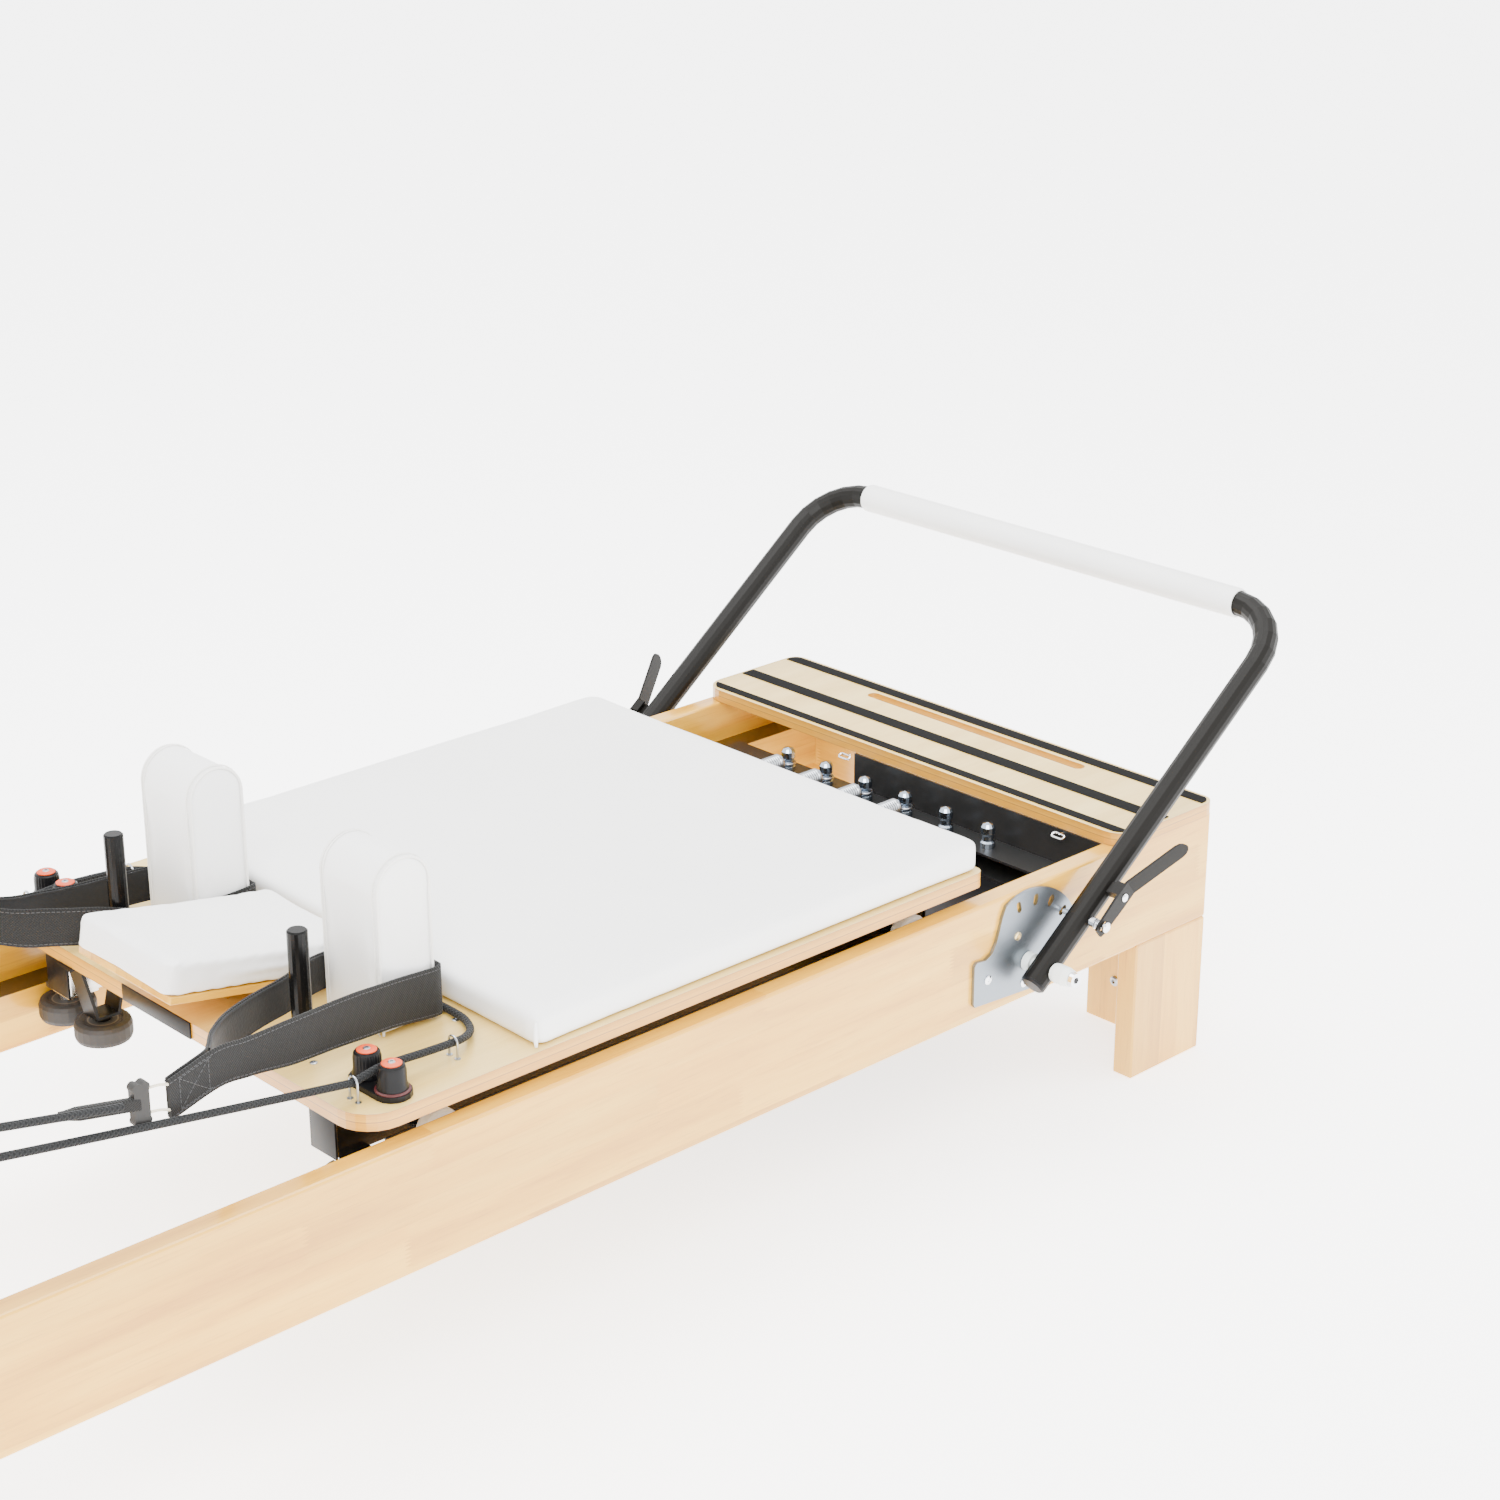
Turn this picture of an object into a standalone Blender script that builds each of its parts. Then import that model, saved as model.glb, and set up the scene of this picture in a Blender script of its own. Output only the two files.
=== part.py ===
"""Pilates reformer with a wooden frame, in metres, +Z up, standing on z = 0.

+X points to the foot end (footbar and springs), -Y is the near side and +Y the far side.
The origin lies on the floor below the middle of the whole machine's box.
Lengths along the frame are measured as distances from the foot-end face, towards the head
end, and along(d) turns such a distance into an X position.
"""
import math

import bmesh
import bpy
from mathutils import Matrix, Vector

# ---------------------------------------------------------------- driving dimensions
FRAME_LENGTH = 2.450
FRAME_WIDTH = 0.700
RAIL_TOP = 0.3124
RAIL_HEIGHT = 0.1367
RAIL_THICK = 0.0260
BOARD_THICK = 0.0286
GAP = 0.0003            # left between pieces that touch

# footbar: a bent tube that turns about a pivot low on each rail
PIVOT_FROM_FOOT = 0.328
PIVOT_Z = 0.224
LEG_LENGTH = 0.522
LEG_ANGLE = math.radians(37.5)
LEG_Y = 0.380
LEG_TAIL = 0.022
TUBE_RADIUS = 0.0150
TUBE_WALL = 0.0022
BEND_RADIUS = 0.072
SLEEVE_HALF = 0.3075
SLEEVE_RADIUS = 0.0185

# the bar reaches past the foot end by this much; the origin is centred on the whole length
BAR_OVERHANG = LEG_LENGTH * math.cos(LEG_ANGLE) + SLEEVE_RADIUS - PIVOT_FROM_FOOT
FOOT_X = (FRAME_LENGTH - BAR_OVERHANG) / 2

# legs and inner ledges
LEG_BOARD_WIDTH = 0.127
LEG_END_BOARD_WIDTH = 0.155
LEDGE_TOP = 0.260
LEDGE_BOTTOM = 0.200
LEDGE_INNER_Y = 0.290

# foot platform
PLATFORM_DEPTH = 0.1704
PLATFORM_THICK = 0.0162
SLOT_HALF_LENGTH = 0.182
SLOT_FROM_FOOT = 0.0375
SLOT_WIDTH = 0.0165

# spring bar and springs
BAR_FROM_FOOT = 0.195
BAR_TOP = 0.268
BAR_HALF = 0.2885
UPRIGHT_TOP = 0.3115
UPRIGHT_FAR_END = 0.076
POST_PITCH = 0.0683
POST_TOP = 0.300
SPRING_Z = 0.2825
SPRING_RADIUS = 0.0120
ANCHOR_FROM_FOOT = 0.930

# carriage
DECK_FOOT = 0.381
DECK_HEAD = 1.228
DECK_HALF = 0.334
DECK_BOTTOM = 0.326
DECK_TOP = 0.344
PAD_HEAD = 1.022
PAD_TOP = 0.3810
BEAM_FOOT = 0.400
BEAM_HEAD = 1.207
BEAM_INNER = 0.220
BEAM_OUTER = 0.260
BEAM_BOTTOM = 0.269
RUN_WHEEL_RADIUS = 0.0240
RUN_WHEEL_PLACES = (0.470, 1.120)
GUIDE_WHEEL_FROM_FOOT = 1.190
GUIDE_WHEEL_Y = 0.2585
INBOARD_WHEEL_Y = 0.187
GUIDE_WHEEL_RADIUS = 0.0310
GUIDE_WHEEL_TOP = 0.252
GUIDE_WHEEL_THICK = 0.024

# shoulder rests, strap posts, headrest
REST_FOOT = 1.044
REST_HEAD = 1.110
REST_INNER = 0.113
REST_OUTER = 0.207
REST_TOP = 0.527
STRAP_POST_FROM_FOOT = 1.173
STRAP_POST_Y = 0.163
STRAP_POST_RADIUS = 0.0105
STRAP_POST_TOP = 0.466
HEADREST_HINGE = 1.052
HEADREST_HINGE_Z = 0.3525
HEADREST_TILT = math.radians(10.5)
HEADREST_LENGTH = 0.229
HEADREST_HALF = 0.0875

# ropes, cam cleats and head-end pulleys
ROPE_RADIUS = 0.0040
CAM_FROM_FOOT = 1.174
CAM_INNER_Y = 0.2690
CAM_OUTER_Y = 0.3080
CAM_RADIUS = 0.0148
CAM_TOP = 0.378
PULLEY_FROM_FOOT = 2.375
PULLEY_Y = 0.300
PULLEY_Z = 0.604
PULLEY_PITCH = 0.027
RISER_FROM_FOOT = 2.422
RISER_Y = 0.337
RISER_TOP = 0.655

NEAR = -1
FAR = 1
SIDES = (("near", NEAR), ("far", FAR))


def along(distance):
    """X position of a point this far from the foot-end face, towards the head end."""
    return FOOT_X - distance


# ---------------------------------------------------------------- materials
def material(name, color, roughness, metallic=0.0):
    mat = bpy.data.materials.new(name)
    mat.use_nodes = True
    shader = mat.node_tree.nodes["Principled BSDF"]
    shader.inputs["Base Color"].default_value = (*color, 1.0)
    shader.inputs["Roughness"].default_value = roughness
    shader.inputs["Metallic"].default_value = metallic
    return mat


# ---------------------------------------------------------------- shape helpers
def clear_scene():
    for obj in list(bpy.data.objects):
        bpy.data.objects.remove(obj, do_unlink=True)


def empty(name, location, rotation=(0.0, 0.0, 0.0), parent=None):
    obj = bpy.data.objects.new(name, None)
    obj.location = location
    obj.rotation_euler = rotation
    obj.parent = parent
    bpy.context.collection.objects.link(obj)
    return obj


def add_object(name, mesh_maker, mat, location=(0, 0, 0), rotation=(0, 0, 0), parent=None,
               smooth=None):
    """Make an object from a bmesh that mesh_maker fills, with its faces turned outwards."""
    mesh = bpy.data.meshes.new(name)
    bm = bmesh.new()
    mesh_maker(bm)
    bmesh.ops.remove_doubles(bm, verts=bm.verts, dist=1e-6)
    bmesh.ops.recalc_face_normals(bm, faces=bm.faces)
    bm.to_mesh(mesh)
    bm.free()
    if mat is not None:
        mesh.materials.append(mat)
    if smooth is not None:
        mesh.shade_smooth()
        mesh.set_sharp_from_angle(angle=math.radians(smooth))
    obj = bpy.data.objects.new(name, mesh)
    obj.location = location
    obj.rotation_euler = rotation
    obj.parent = parent
    bpy.context.collection.objects.link(obj)
    return obj


def fill_box(bm, low, high):
    center = [(a + b) / 2 for a, b in zip(low, high)]
    size = [b - a for a, b in zip(low, high)]
    matrix = Matrix.Translation(center) @ Matrix.Diagonal((*size, 1.0))
    bmesh.ops.create_cube(bm, size=1.0, matrix=matrix)


def box(name, low, high, mat, bevel=0.0, parent=None, location=None):
    """A box between two corners; its origin is its own centre, or location if that is given."""
    origin = Vector(location) if location else (Vector(low) + Vector(high)) / 2
    obj = add_object(name, lambda bm: fill_box(bm, Vector(low) - origin, Vector(high) - origin),
                     mat, origin, parent=parent)
    if bevel:
        add_bevel(obj, bevel)
    return obj


def add_bevel(obj, width, segments=2):
    mod = obj.modifiers.new("edges", "BEVEL")
    mod.width = width
    mod.segments = segments
    mod.limit_method = "ANGLE"
    mod.angle_limit = math.radians(50)


def fill_prism(bm, outline, low, high, plane):
    """Extrude a 2-D outline between low and high along the axis that plane leaves out."""
    def place(a, b, c):
        return {"xy": (a, b, c), "xz": (a, c, b), "yz": (c, a, b)}[plane]

    lower = [bm.verts.new(place(a, b, low)) for a, b in outline]
    upper = [bm.verts.new(place(a, b, high)) for a, b in outline]
    bm.faces.new(lower)
    bm.faces.new(upper)
    count = len(outline)
    for i in range(count):
        j = (i + 1) % count
        bm.faces.new((lower[i], lower[j], upper[j], upper[i]))


def arc(center, radius, start, end, steps):
    """Points on an arc from start to end degrees, both ends included."""
    points = []
    for i in range(steps + 1):
        angle = math.radians(start + (end - start) * i / steps)
        points.append((center[0] + radius * math.cos(angle), center[1] + radius * math.sin(angle)))
    return points


def rounded_rect(low, high, radii, steps=5):
    """Outline of a rectangle; radii are for the corners (-,-), (+,-), (+,+), (-,+)."""
    (x0, y0), (x1, y1) = low, high
    corners = (((x0, y0), 1, 1, 180), ((x1, y0), -1, 1, 270), ((x1, y1), -1, -1, 0),
               ((x0, y1), 1, -1, 90))
    outline = []
    for (corner, sx, sy, start), radius in zip(corners, radii):
        center = (corner[0] + sx * radius, corner[1] + sy * radius)
        outline += arc(center, radius, start, start + 90, steps)
    return outline


def fill_turned(bm, profile, axis, sides, closed):
    """Turn (radius, height) points about an axis through the origin.

    A closed profile makes a ring with a bore; an open one starts and ends on the axis.
    """
    def place(radius, height, angle):
        a = radius * math.cos(angle)
        b = radius * math.sin(angle)
        return {"x": (height, a, b), "y": (a, height, b), "z": (a, b, height)}[axis]

    rings = []
    for radius, height in profile:
        if radius < 1e-9:
            rings.append([bm.verts.new(place(0.0, height, 0.0))])
        else:
            rings.append([bm.verts.new(place(radius, height, 2 * math.pi * i / sides))
                          for i in range(sides)])
    pairs = list(zip(rings, rings[1:]))
    if closed:
        pairs.append((rings[-1], rings[0]))
    for first, second in pairs:
        for i in range(sides):
            j = (i + 1) % sides
            ends = (first[i % len(first)], first[j % len(first)],
                    second[j % len(second)], second[i % len(second)])
            face = []
            for vert in ends:
                if vert not in face:
                    face.append(vert)
            bm.faces.new(face)


def turned(name, profile, axis, mat, location, sides=20, closed=False, parent=None):
    return add_object(name, lambda bm: fill_turned(bm, profile, axis, sides, closed),
                      mat, location, parent=parent, smooth=35)


def rod_profile(radius, low, high):
    return [(0.0, low), (radius, low), (radius, high), (0.0, high)]


def ring_profile(inner, outer, low, high):
    return [(inner, low), (outer, low), (outer, high), (inner, high)]


def fill_tube(bm, points, radius, sides, wall=0.0):
    """Sweep a circle along points without twisting it; with a wall, the tube is open-ended."""
    points = [Vector(p) for p in points]
    tangents = []
    for i in range(len(points)):
        before = points[max(i - 1, 0)]
        after = points[min(i + 1, len(points) - 1)]
        tangents.append((after - before).normalized())
    normal = tangents[0].orthogonal().normalized()
    skins = [[] for _ in range(2 if wall else 1)]
    for point, tangent in zip(points, tangents):
        normal = (normal - tangent * normal.dot(tangent)).normalized()
        side = tangent.cross(normal)
        for depth, skin in enumerate(skins):
            ring = []
            for i in range(sides):
                angle = 2 * math.pi * i / sides
                out = math.cos(angle) * normal + math.sin(angle) * side
                ring.append(bm.verts.new(point + (radius - depth * wall) * out))
            skin.append(ring)
    for skin in skins:
        for first, second in zip(skin, skin[1:]):
            bridge_rings(bm, first, second)
    for end in (0, -1):
        if wall:
            bridge_rings(bm, skins[0][end], skins[1][end])
        else:
            bm.faces.new(skins[0][end])


def bridge_rings(bm, first, second):
    for i in range(len(first)):
        j = (i + 1) % len(first)
        bm.faces.new((first[i], first[j], second[j], second[i]))


def add_boolean(obj, operation, name, mesh_maker):
    """Cut obj with, or join it to, a helper solid given in world coordinates."""
    helper = add_object(f"{obj.name}_{name}", mesh_maker, None)
    helper.hide_render = True
    helper.display_type = "WIRE"
    mod = obj.modifiers.new(name, "BOOLEAN")
    mod.operation = operation
    mod.solver = "EXACT"
    mod.object = helper


def cut(obj, name, mesh_maker):
    add_boolean(obj, "DIFFERENCE", name, mesh_maker)


def join(obj, name, mesh_maker):
    add_boolean(obj, "UNION", name, mesh_maker)


def smooth_path(points, spacing):
    """Points about this far apart on a smooth curve through the given ones."""
    points = [Vector(p) for p in points]
    padded = [2 * points[0] - points[1], *points, 2 * points[-1] - points[-2]]
    result = [points[0]]
    for i in range(1, len(padded) - 2):
        p0, p1, p2, p3 = padded[i - 1:i + 3]
        steps = max(1, round((p2 - p1).length / spacing))
        for k in range(1, steps + 1):
            t = k / steps
            result.append(0.5 * (2 * p1 + (p2 - p0) * t + (2 * p0 - 5 * p1 + 4 * p2 - p3) * t ** 2
                                 + (3 * p1 - p0 - 3 * p2 + p3) * t ** 3))
    return result


# ---------------------------------------------------------------- frame
def make_rail(side_name, side, wood):
    """Side rail with the ledge glued along its inner face, on which the carriage rolls."""
    outer = side * FRAME_WIDTH / 2
    inner = side * (FRAME_WIDTH / 2 - RAIL_THICK)
    rail = box(f"{side_name}_rail", (along(FRAME_LENGTH), min(outer, inner), RAIL_TOP - RAIL_HEIGHT),
               (along(0), max(outer, inner), RAIL_TOP), wood, bevel=0.003)
    root = side * (FRAME_WIDTH / 2 - RAIL_THICK / 2)
    edge = side * LEDGE_INNER_Y
    head = FRAME_LENGTH - BOARD_THICK - GAP
    join(rail, "ledge", lambda bm: fill_box(
        bm, (along(head), min(root, edge), LEDGE_BOTTOM),
        (along(BOARD_THICK + GAP), max(root, edge), LEDGE_TOP)))


def make_leg(name, side, from_foot, wood):
    """L-shaped leg of two glued boards, flush with the rail's outer face and the frame's end."""
    height = RAIL_TOP - RAIL_HEIGHT - GAP
    outer = side * FRAME_WIDTH / 2
    board_inner = side * (FRAME_WIDTH / 2 - BOARD_THICK)
    tip = side * (FRAME_WIDTH / 2 - LEG_END_BOARD_WIDTH)
    at_foot = from_foot < FRAME_LENGTH / 2
    end = along(from_foot)
    direction = -1 if at_foot else 1
    far = end + direction * LEG_BOARD_WIDTH
    near = end + direction * BOARD_THICK
    outline = [(end, outer), (far, outer), (far, board_inner), (near, board_inner), (near, tip),
               (end, tip)]
    leg = add_object(name, lambda bm: fill_prism(bm, outline, 0.0, height, "xy"), wood)
    add_bevel(leg, 0.002, 1)


def make_end_board(name, from_foot, wood):
    half = FRAME_WIDTH / 2 - RAIL_THICK - GAP
    low = along(from_foot + BOARD_THICK)
    high = along(from_foot)
    return box(name, (low, -half, RAIL_TOP - RAIL_HEIGHT), (high, half, RAIL_TOP - GAP), wood,
               bevel=0.002)


def make_platform(ply):
    """Standing platform over the foot end, with a hand slot near its outer edge."""
    half = FRAME_WIDTH / 2 + 0.007
    low = RAIL_TOP + GAP
    outline = rounded_rect((along(PLATFORM_DEPTH), -half), (along(0), half),
                           (0.030, 0.018, 0.018, 0.030))
    platform = add_object("foot_platform", lambda bm: fill_prism(
        bm, outline, low, low + PLATFORM_THICK, "xy"), ply, smooth=40)
    slot = rounded_rect((along(SLOT_FROM_FOOT) - SLOT_WIDTH / 2, -SLOT_HALF_LENGTH),
                        (along(SLOT_FROM_FOOT) + SLOT_WIDTH / 2, SLOT_HALF_LENGTH),
                        (SLOT_WIDTH * 0.49,) * 4, steps=4)
    cut(platform, "hand_slot", lambda bm: fill_prism(bm, slot, low - 0.02, low + 0.04, "xy"))


def spring_post_profile():
    """Mushroom post: foot nut, waist that a spring ring drops over, and domed head."""
    return [(0.0, 0.0), (0.0092, 0.0), (0.0092, 0.007), (0.0070, 0.009), (0.0070, 0.015),
            (0.0088, 0.0185), (0.0088, 0.0265), (0.0066, 0.0305), (0.0, POST_TOP - BAR_TOP)]


def make_spring_bar(steel):
    """Steel channel, open towards the carriage, with an upright plate and six mushroom posts."""
    web = along(0.169)
    lip = along(0.216)
    wall = 0.003
    bottom = 0.238
    outline = [(web, bottom), (lip, bottom), (lip, bottom + wall), (web - wall, bottom + wall),
               (web - wall, BAR_TOP - wall), (lip, BAR_TOP - wall), (lip, BAR_TOP), (web, BAR_TOP)]
    bar = add_object("spring_bar", lambda bm: fill_prism(bm, outline, -BAR_HALF, BAR_HALF, "xz"),
                     steel)
    join(bar, "upright", lambda bm: fill_box(
        bm, (web - wall, -BAR_HALF, BAR_TOP - 0.001), (web, UPRIGHT_FAR_END, UPRIGHT_TOP)))
    near_end = -(FRAME_WIDTH / 2 - RAIL_THICK - GAP)
    join(bar, "upright_end", lambda bm: fill_box(
        bm, (web - wall, near_end, LEDGE_TOP + GAP), (web, -BAR_HALF + 0.001, UPRIGHT_TOP)))
    for index in range(6):
        y = (index - 2.5) * POST_PITCH

        def post(bm, y=y):
            fill_turned(bm, spring_post_profile(), "z", 14, False)
            # the post's foot is sunk into the bar so that the two join
            bmesh.ops.translate(bm, verts=bm.verts, vec=(along(BAR_FROM_FOOT), y, BAR_TOP - 0.0005))

        join(bar, f"post_{index + 1}", post)


def gear_plate_outline():
    """Outline about the pivot: a tab towards the head end and an arc of lock slots."""
    rim = 0.087
    tab = [(-0.086, -0.030), (-0.088, -0.026), (-0.088, 0.020), (-0.084, 0.024), (-0.070, 0.0225)]
    neck = [(-0.060, 0.027), (-0.053, 0.038), (-0.048, 0.052), (-0.044, 0.066)]
    lower = [(0.066, -0.020), (0.045, -0.033), (0.018, -0.0375)]
    return tab + neck + arc((0, 0), rim, 116, 2, 16) + lower


def make_gear_plate(side_name, side, steel):
    pivot = (along(PIVOT_FROM_FOOT), 0.0, PIVOT_Z)
    inner = side * (FRAME_WIDTH / 2 + GAP)
    outer = side * (FRAME_WIDTH / 2 + 0.0043)
    low, high = min(inner, outer), max(inner, outer)
    plate = add_object(f"{side_name}_gear_plate", lambda bm: fill_prism(
        bm, gear_plate_outline(), low, high, "xz"), steel, pivot)

    def slots(bm):
        for angle in (15.5, 37.5, 59.5, 81.5, 103.5):
            half = 0.0035
            shape = [(0.069, -half), *arc((0.0765, 0), half, -90, 90, 4), (0.069, half),
                     *arc((0.069, 0), half, 90, 270, 4)]
            turn = math.radians(angle)
            outline = [(a * math.cos(turn) - b * math.sin(turn),
                        a * math.sin(turn) + b * math.cos(turn)) for a, b in shape]
            fill_prism(bm, outline, low - 0.01, high + 0.01, "xz")
        bmesh.ops.translate(bm, verts=bm.verts, vec=pivot)

    cut(plate, "lock_slots", slots)


def make_pivot(side_name, side, steel, nylon):
    """Pivot bolt fixed to the rail, in a flanged bush that carries the footbar's leg."""
    place = (along(PIVOT_FROM_FOOT), 0.0, PIVOT_Z)
    root = FRAME_WIDTH / 2 + 0.0043 + GAP
    tube_in = LEG_Y - TUBE_RADIUS - 0.0004
    tube_out = LEG_Y + TUBE_RADIUS + 0.0004
    bolt = [(0.0, root), (0.0050, root), (0.0050, 0.4205), (0.0085, 0.4205), (0.0085, 0.4265),
            (0.0, 0.4265)]
    bush = [(0.0053, root + GAP), (0.0115, root + GAP), (0.0115, tube_in), (0.0070, tube_in),
            (0.0070, tube_out), (0.0105, tube_out), (0.0115, tube_out + 0.006), (0.0115, 0.412),
            (0.0095, 0.4202), (0.0053, 0.4202)]
    for name, profile, mat, closed in (("pivot_bolt", bolt, steel, False),
                                       ("pivot_bush", bush, nylon, True)):
        turned(f"{side_name}_{name}", [(r, side * y) for r, y in profile], "y", mat, place,
               sides=16, closed=closed)


# ---------------------------------------------------------------- footbar
def leg_point(distance, across, y):
    """Point at this distance along a footbar leg from the pivot, and across it, upwards."""
    dx = distance * math.cos(LEG_ANGLE) - across * math.sin(LEG_ANGLE)
    dz = distance * math.sin(LEG_ANGLE) + across * math.cos(LEG_ANGLE)
    return Vector((along(PIVOT_FROM_FOOT) + dx, y, PIVOT_Z + dz))


PIN_FROM_PIVOT = 0.0725
LEVER_FROM_PIVOT = 0.1185
LEVER_Y = 0.4085


def make_footbar(paint, cover):
    hub = empty("footbar_hinge", (along(PIVOT_FROM_FOOT), 0, PIVOT_Z))
    corner = LEG_LENGTH - BEND_RADIUS
    path = [(-LEG_TAIL, -LEG_Y), (0.20, -LEG_Y)]
    path += [(corner + BEND_RADIUS * math.sin(math.radians(a)),
              -LEG_Y + BEND_RADIUS * (1 - math.cos(math.radians(a)))) for a in range(0, 91, 15)]
    path += [(distance, -y) for distance, y in reversed(path)]
    points = [leg_point(distance, 0, y) for distance, y in path]
    tube = add_object("footbar_tube", lambda bm: (
        fill_tube(bm, points, TUBE_RADIUS, 16, TUBE_WALL),
        bmesh.ops.translate(bm, verts=bm.verts, vec=-Vector(hub.location))),
        paint, parent=hub, smooth=35)
    for side_name, side in SIDES:
        def bore(bm, side=side, radius=0.0074, distance=0.0):
            fill_turned(bm, rod_profile(radius, -0.03, 0.03), "y", 16, False)
            bmesh.ops.translate(bm, verts=bm.verts, vec=leg_point(distance, 0, side * LEG_Y))

        def lug(bm, side=side):
            low = (LEVER_FROM_PIVOT - 0.007, side * (LEG_Y + 0.008), -0.0055)
            high = (LEVER_FROM_PIVOT + 0.007, side * (LEVER_Y + 0.003), 0.0055)
            fill_box(bm, [min(p) for p in zip(low, high)], [max(p) for p in zip(low, high)])
            turn_to_leg(bm)

        cut(tube, f"{side_name}_pivot_bore", bore)
        cut(tube, f"{side_name}_pin_bore",
            lambda bm, side=side: bore(bm, side, 0.0040, PIN_FROM_PIVOT))
        join(tube, f"{side_name}_lug", lug)

    add_object("footbar_sleeve", lambda bm: fill_turned(
        bm, ring_profile(TUBE_RADIUS + GAP, SLEEVE_RADIUS, -SLEEVE_HALF, SLEEVE_HALF), "y", 20,
        True), cover, leg_point(LEG_LENGTH, 0, 0) - hub.location, parent=hub, smooth=35)
    return hub


def turn_to_leg(bm):
    """Move points given as (along leg, y, across leg) to their place on the footbar."""
    for vert in bm.verts:
        vert.co = leg_point(vert.co.x, vert.co.z, vert.co.y)


def make_lever(side_name, side, hub, paint, steel):
    """Squeeze lever hinged on a lug, and the sprung lock pin whose head its tail lifts."""
    hinge = empty(f"{side_name}_lever_hinge",
                  leg_point(LEVER_FROM_PIVOT, 0, side * LEVER_Y) - hub.location, parent=hub)
    origin = hub.location + hinge.location
    thick = 0.0032
    spread = math.tan(math.radians(24))
    half = 0.0105
    base = LEVER_Y + 0.0040

    def blade(bm):
        """Bent strip, seen from its edge, with a round free end, and two ears beside the lug."""
        stations = [(-0.0565, 0.0, 0.62), (-0.050, 0.0, 0.8), (-0.012, 0.0, 1.0), (0.010, 0.0, 1.0)]
        stations += [(0.010 + 0.062 * t, 0.062 * t * spread, 1.0) for t in (0.5, 1.0)]
        tip = 0.072
        for angle in (30, 55, 75, 88):
            reach = half * math.sin(math.radians(angle))
            stations.append((tip + reach, (tip - 0.010 + reach) * spread,
                             math.cos(math.radians(angle))))
        rings = []
        for distance, lift, width in stations:
            y = base + lift
            ring = []
            for dy, dw in ((0, -1), (0, 1), (thick, 1), (thick, -1)):
                ring.append(bm.verts.new((LEVER_FROM_PIVOT + distance, side * (y + dy),
                                          dw * width * half)))
            rings.append(ring)
        for first, second in zip(rings, rings[1:]):
            bridge_rings(bm, first, second)
        bm.faces.new(rings[0])
        bm.faces.new(rings[-1])
        turn_to_leg(bm)
        bmesh.ops.translate(bm, verts=bm.verts, vec=-origin)

    lever = add_object(f"{side_name}_lever", blade, paint, parent=hinge)
    for index, edge in enumerate((-half, half - 0.0030)):
        def ear(bm, edge=edge):
            ends = (side * (LEVER_Y - 0.0065), side * (base + thick / 2))
            fill_box(bm, (LEVER_FROM_PIVOT - 0.008, min(ends), edge),
                     (LEVER_FROM_PIVOT + 0.008, max(ends), edge + 0.0030))
            turn_to_leg(bm)

        join(lever, f"ear_{index + 1}", ear)

    def fork(bm):
        """Slot in the tail, long enough for the pin to stay clear as the lever tilts."""
        width = 0.0040
        reach = 0.0070 - width
        outline = [*arc((PIN_FROM_PIVOT + reach, 0), width, -90, 90, 6),
                   *arc((PIN_FROM_PIVOT - reach, 0), width, 90, 270, 6)]
        ends = (side * (base - 0.005), side * (base + 0.010))
        fill_prism(bm, outline, min(ends), max(ends), "xz")
        turn_to_leg(bm)

    cut(lever, "pin_slot", fork)

    tip = FRAME_WIDTH / 2 + 0.0043 + GAP
    collar = LEVER_Y - 0.0045
    head = base + thick + 0.0022
    profile = [(0.0, tip), (0.0025, tip), (0.0035, tip + 0.002), (0.0035, collar - 0.006),
               (0.0062, collar - 0.006), (0.0062, collar), (0.0035, collar), (0.0035, head),
               (0.0062, head), (0.0062, head + 0.0020), (0.0045, head + 0.0032),
               (0.0, head + 0.0032)]
    turned(f"{side_name}_lock_pin", [(r, side * y) for r, y in profile], "y", steel,
           leg_point(PIN_FROM_PIVOT, 0, 0) - hub.location, sides=12, parent=hub)


# ---------------------------------------------------------------- carriage
def wheel_profile(bore, radius, low, high):
    """Tyre with rounded shoulders round a hub that is a little thinner than it."""
    shoulder = 0.25 * (high - low)
    return [(bore, low + 0.0015), (radius * 0.62, low + 0.0015), (radius * 0.70, low),
            (radius - shoulder, low), (radius - 0.3 * shoulder, low + 0.3 * shoulder),
            (radius, low + shoulder), (radius, high - shoulder),
            (radius - 0.3 * shoulder, high - 0.3 * shoulder), (radius - shoulder, high),
            (radius * 0.70, high), (radius * 0.62, high - 0.0015), (bore, high - 0.0015)]


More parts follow.
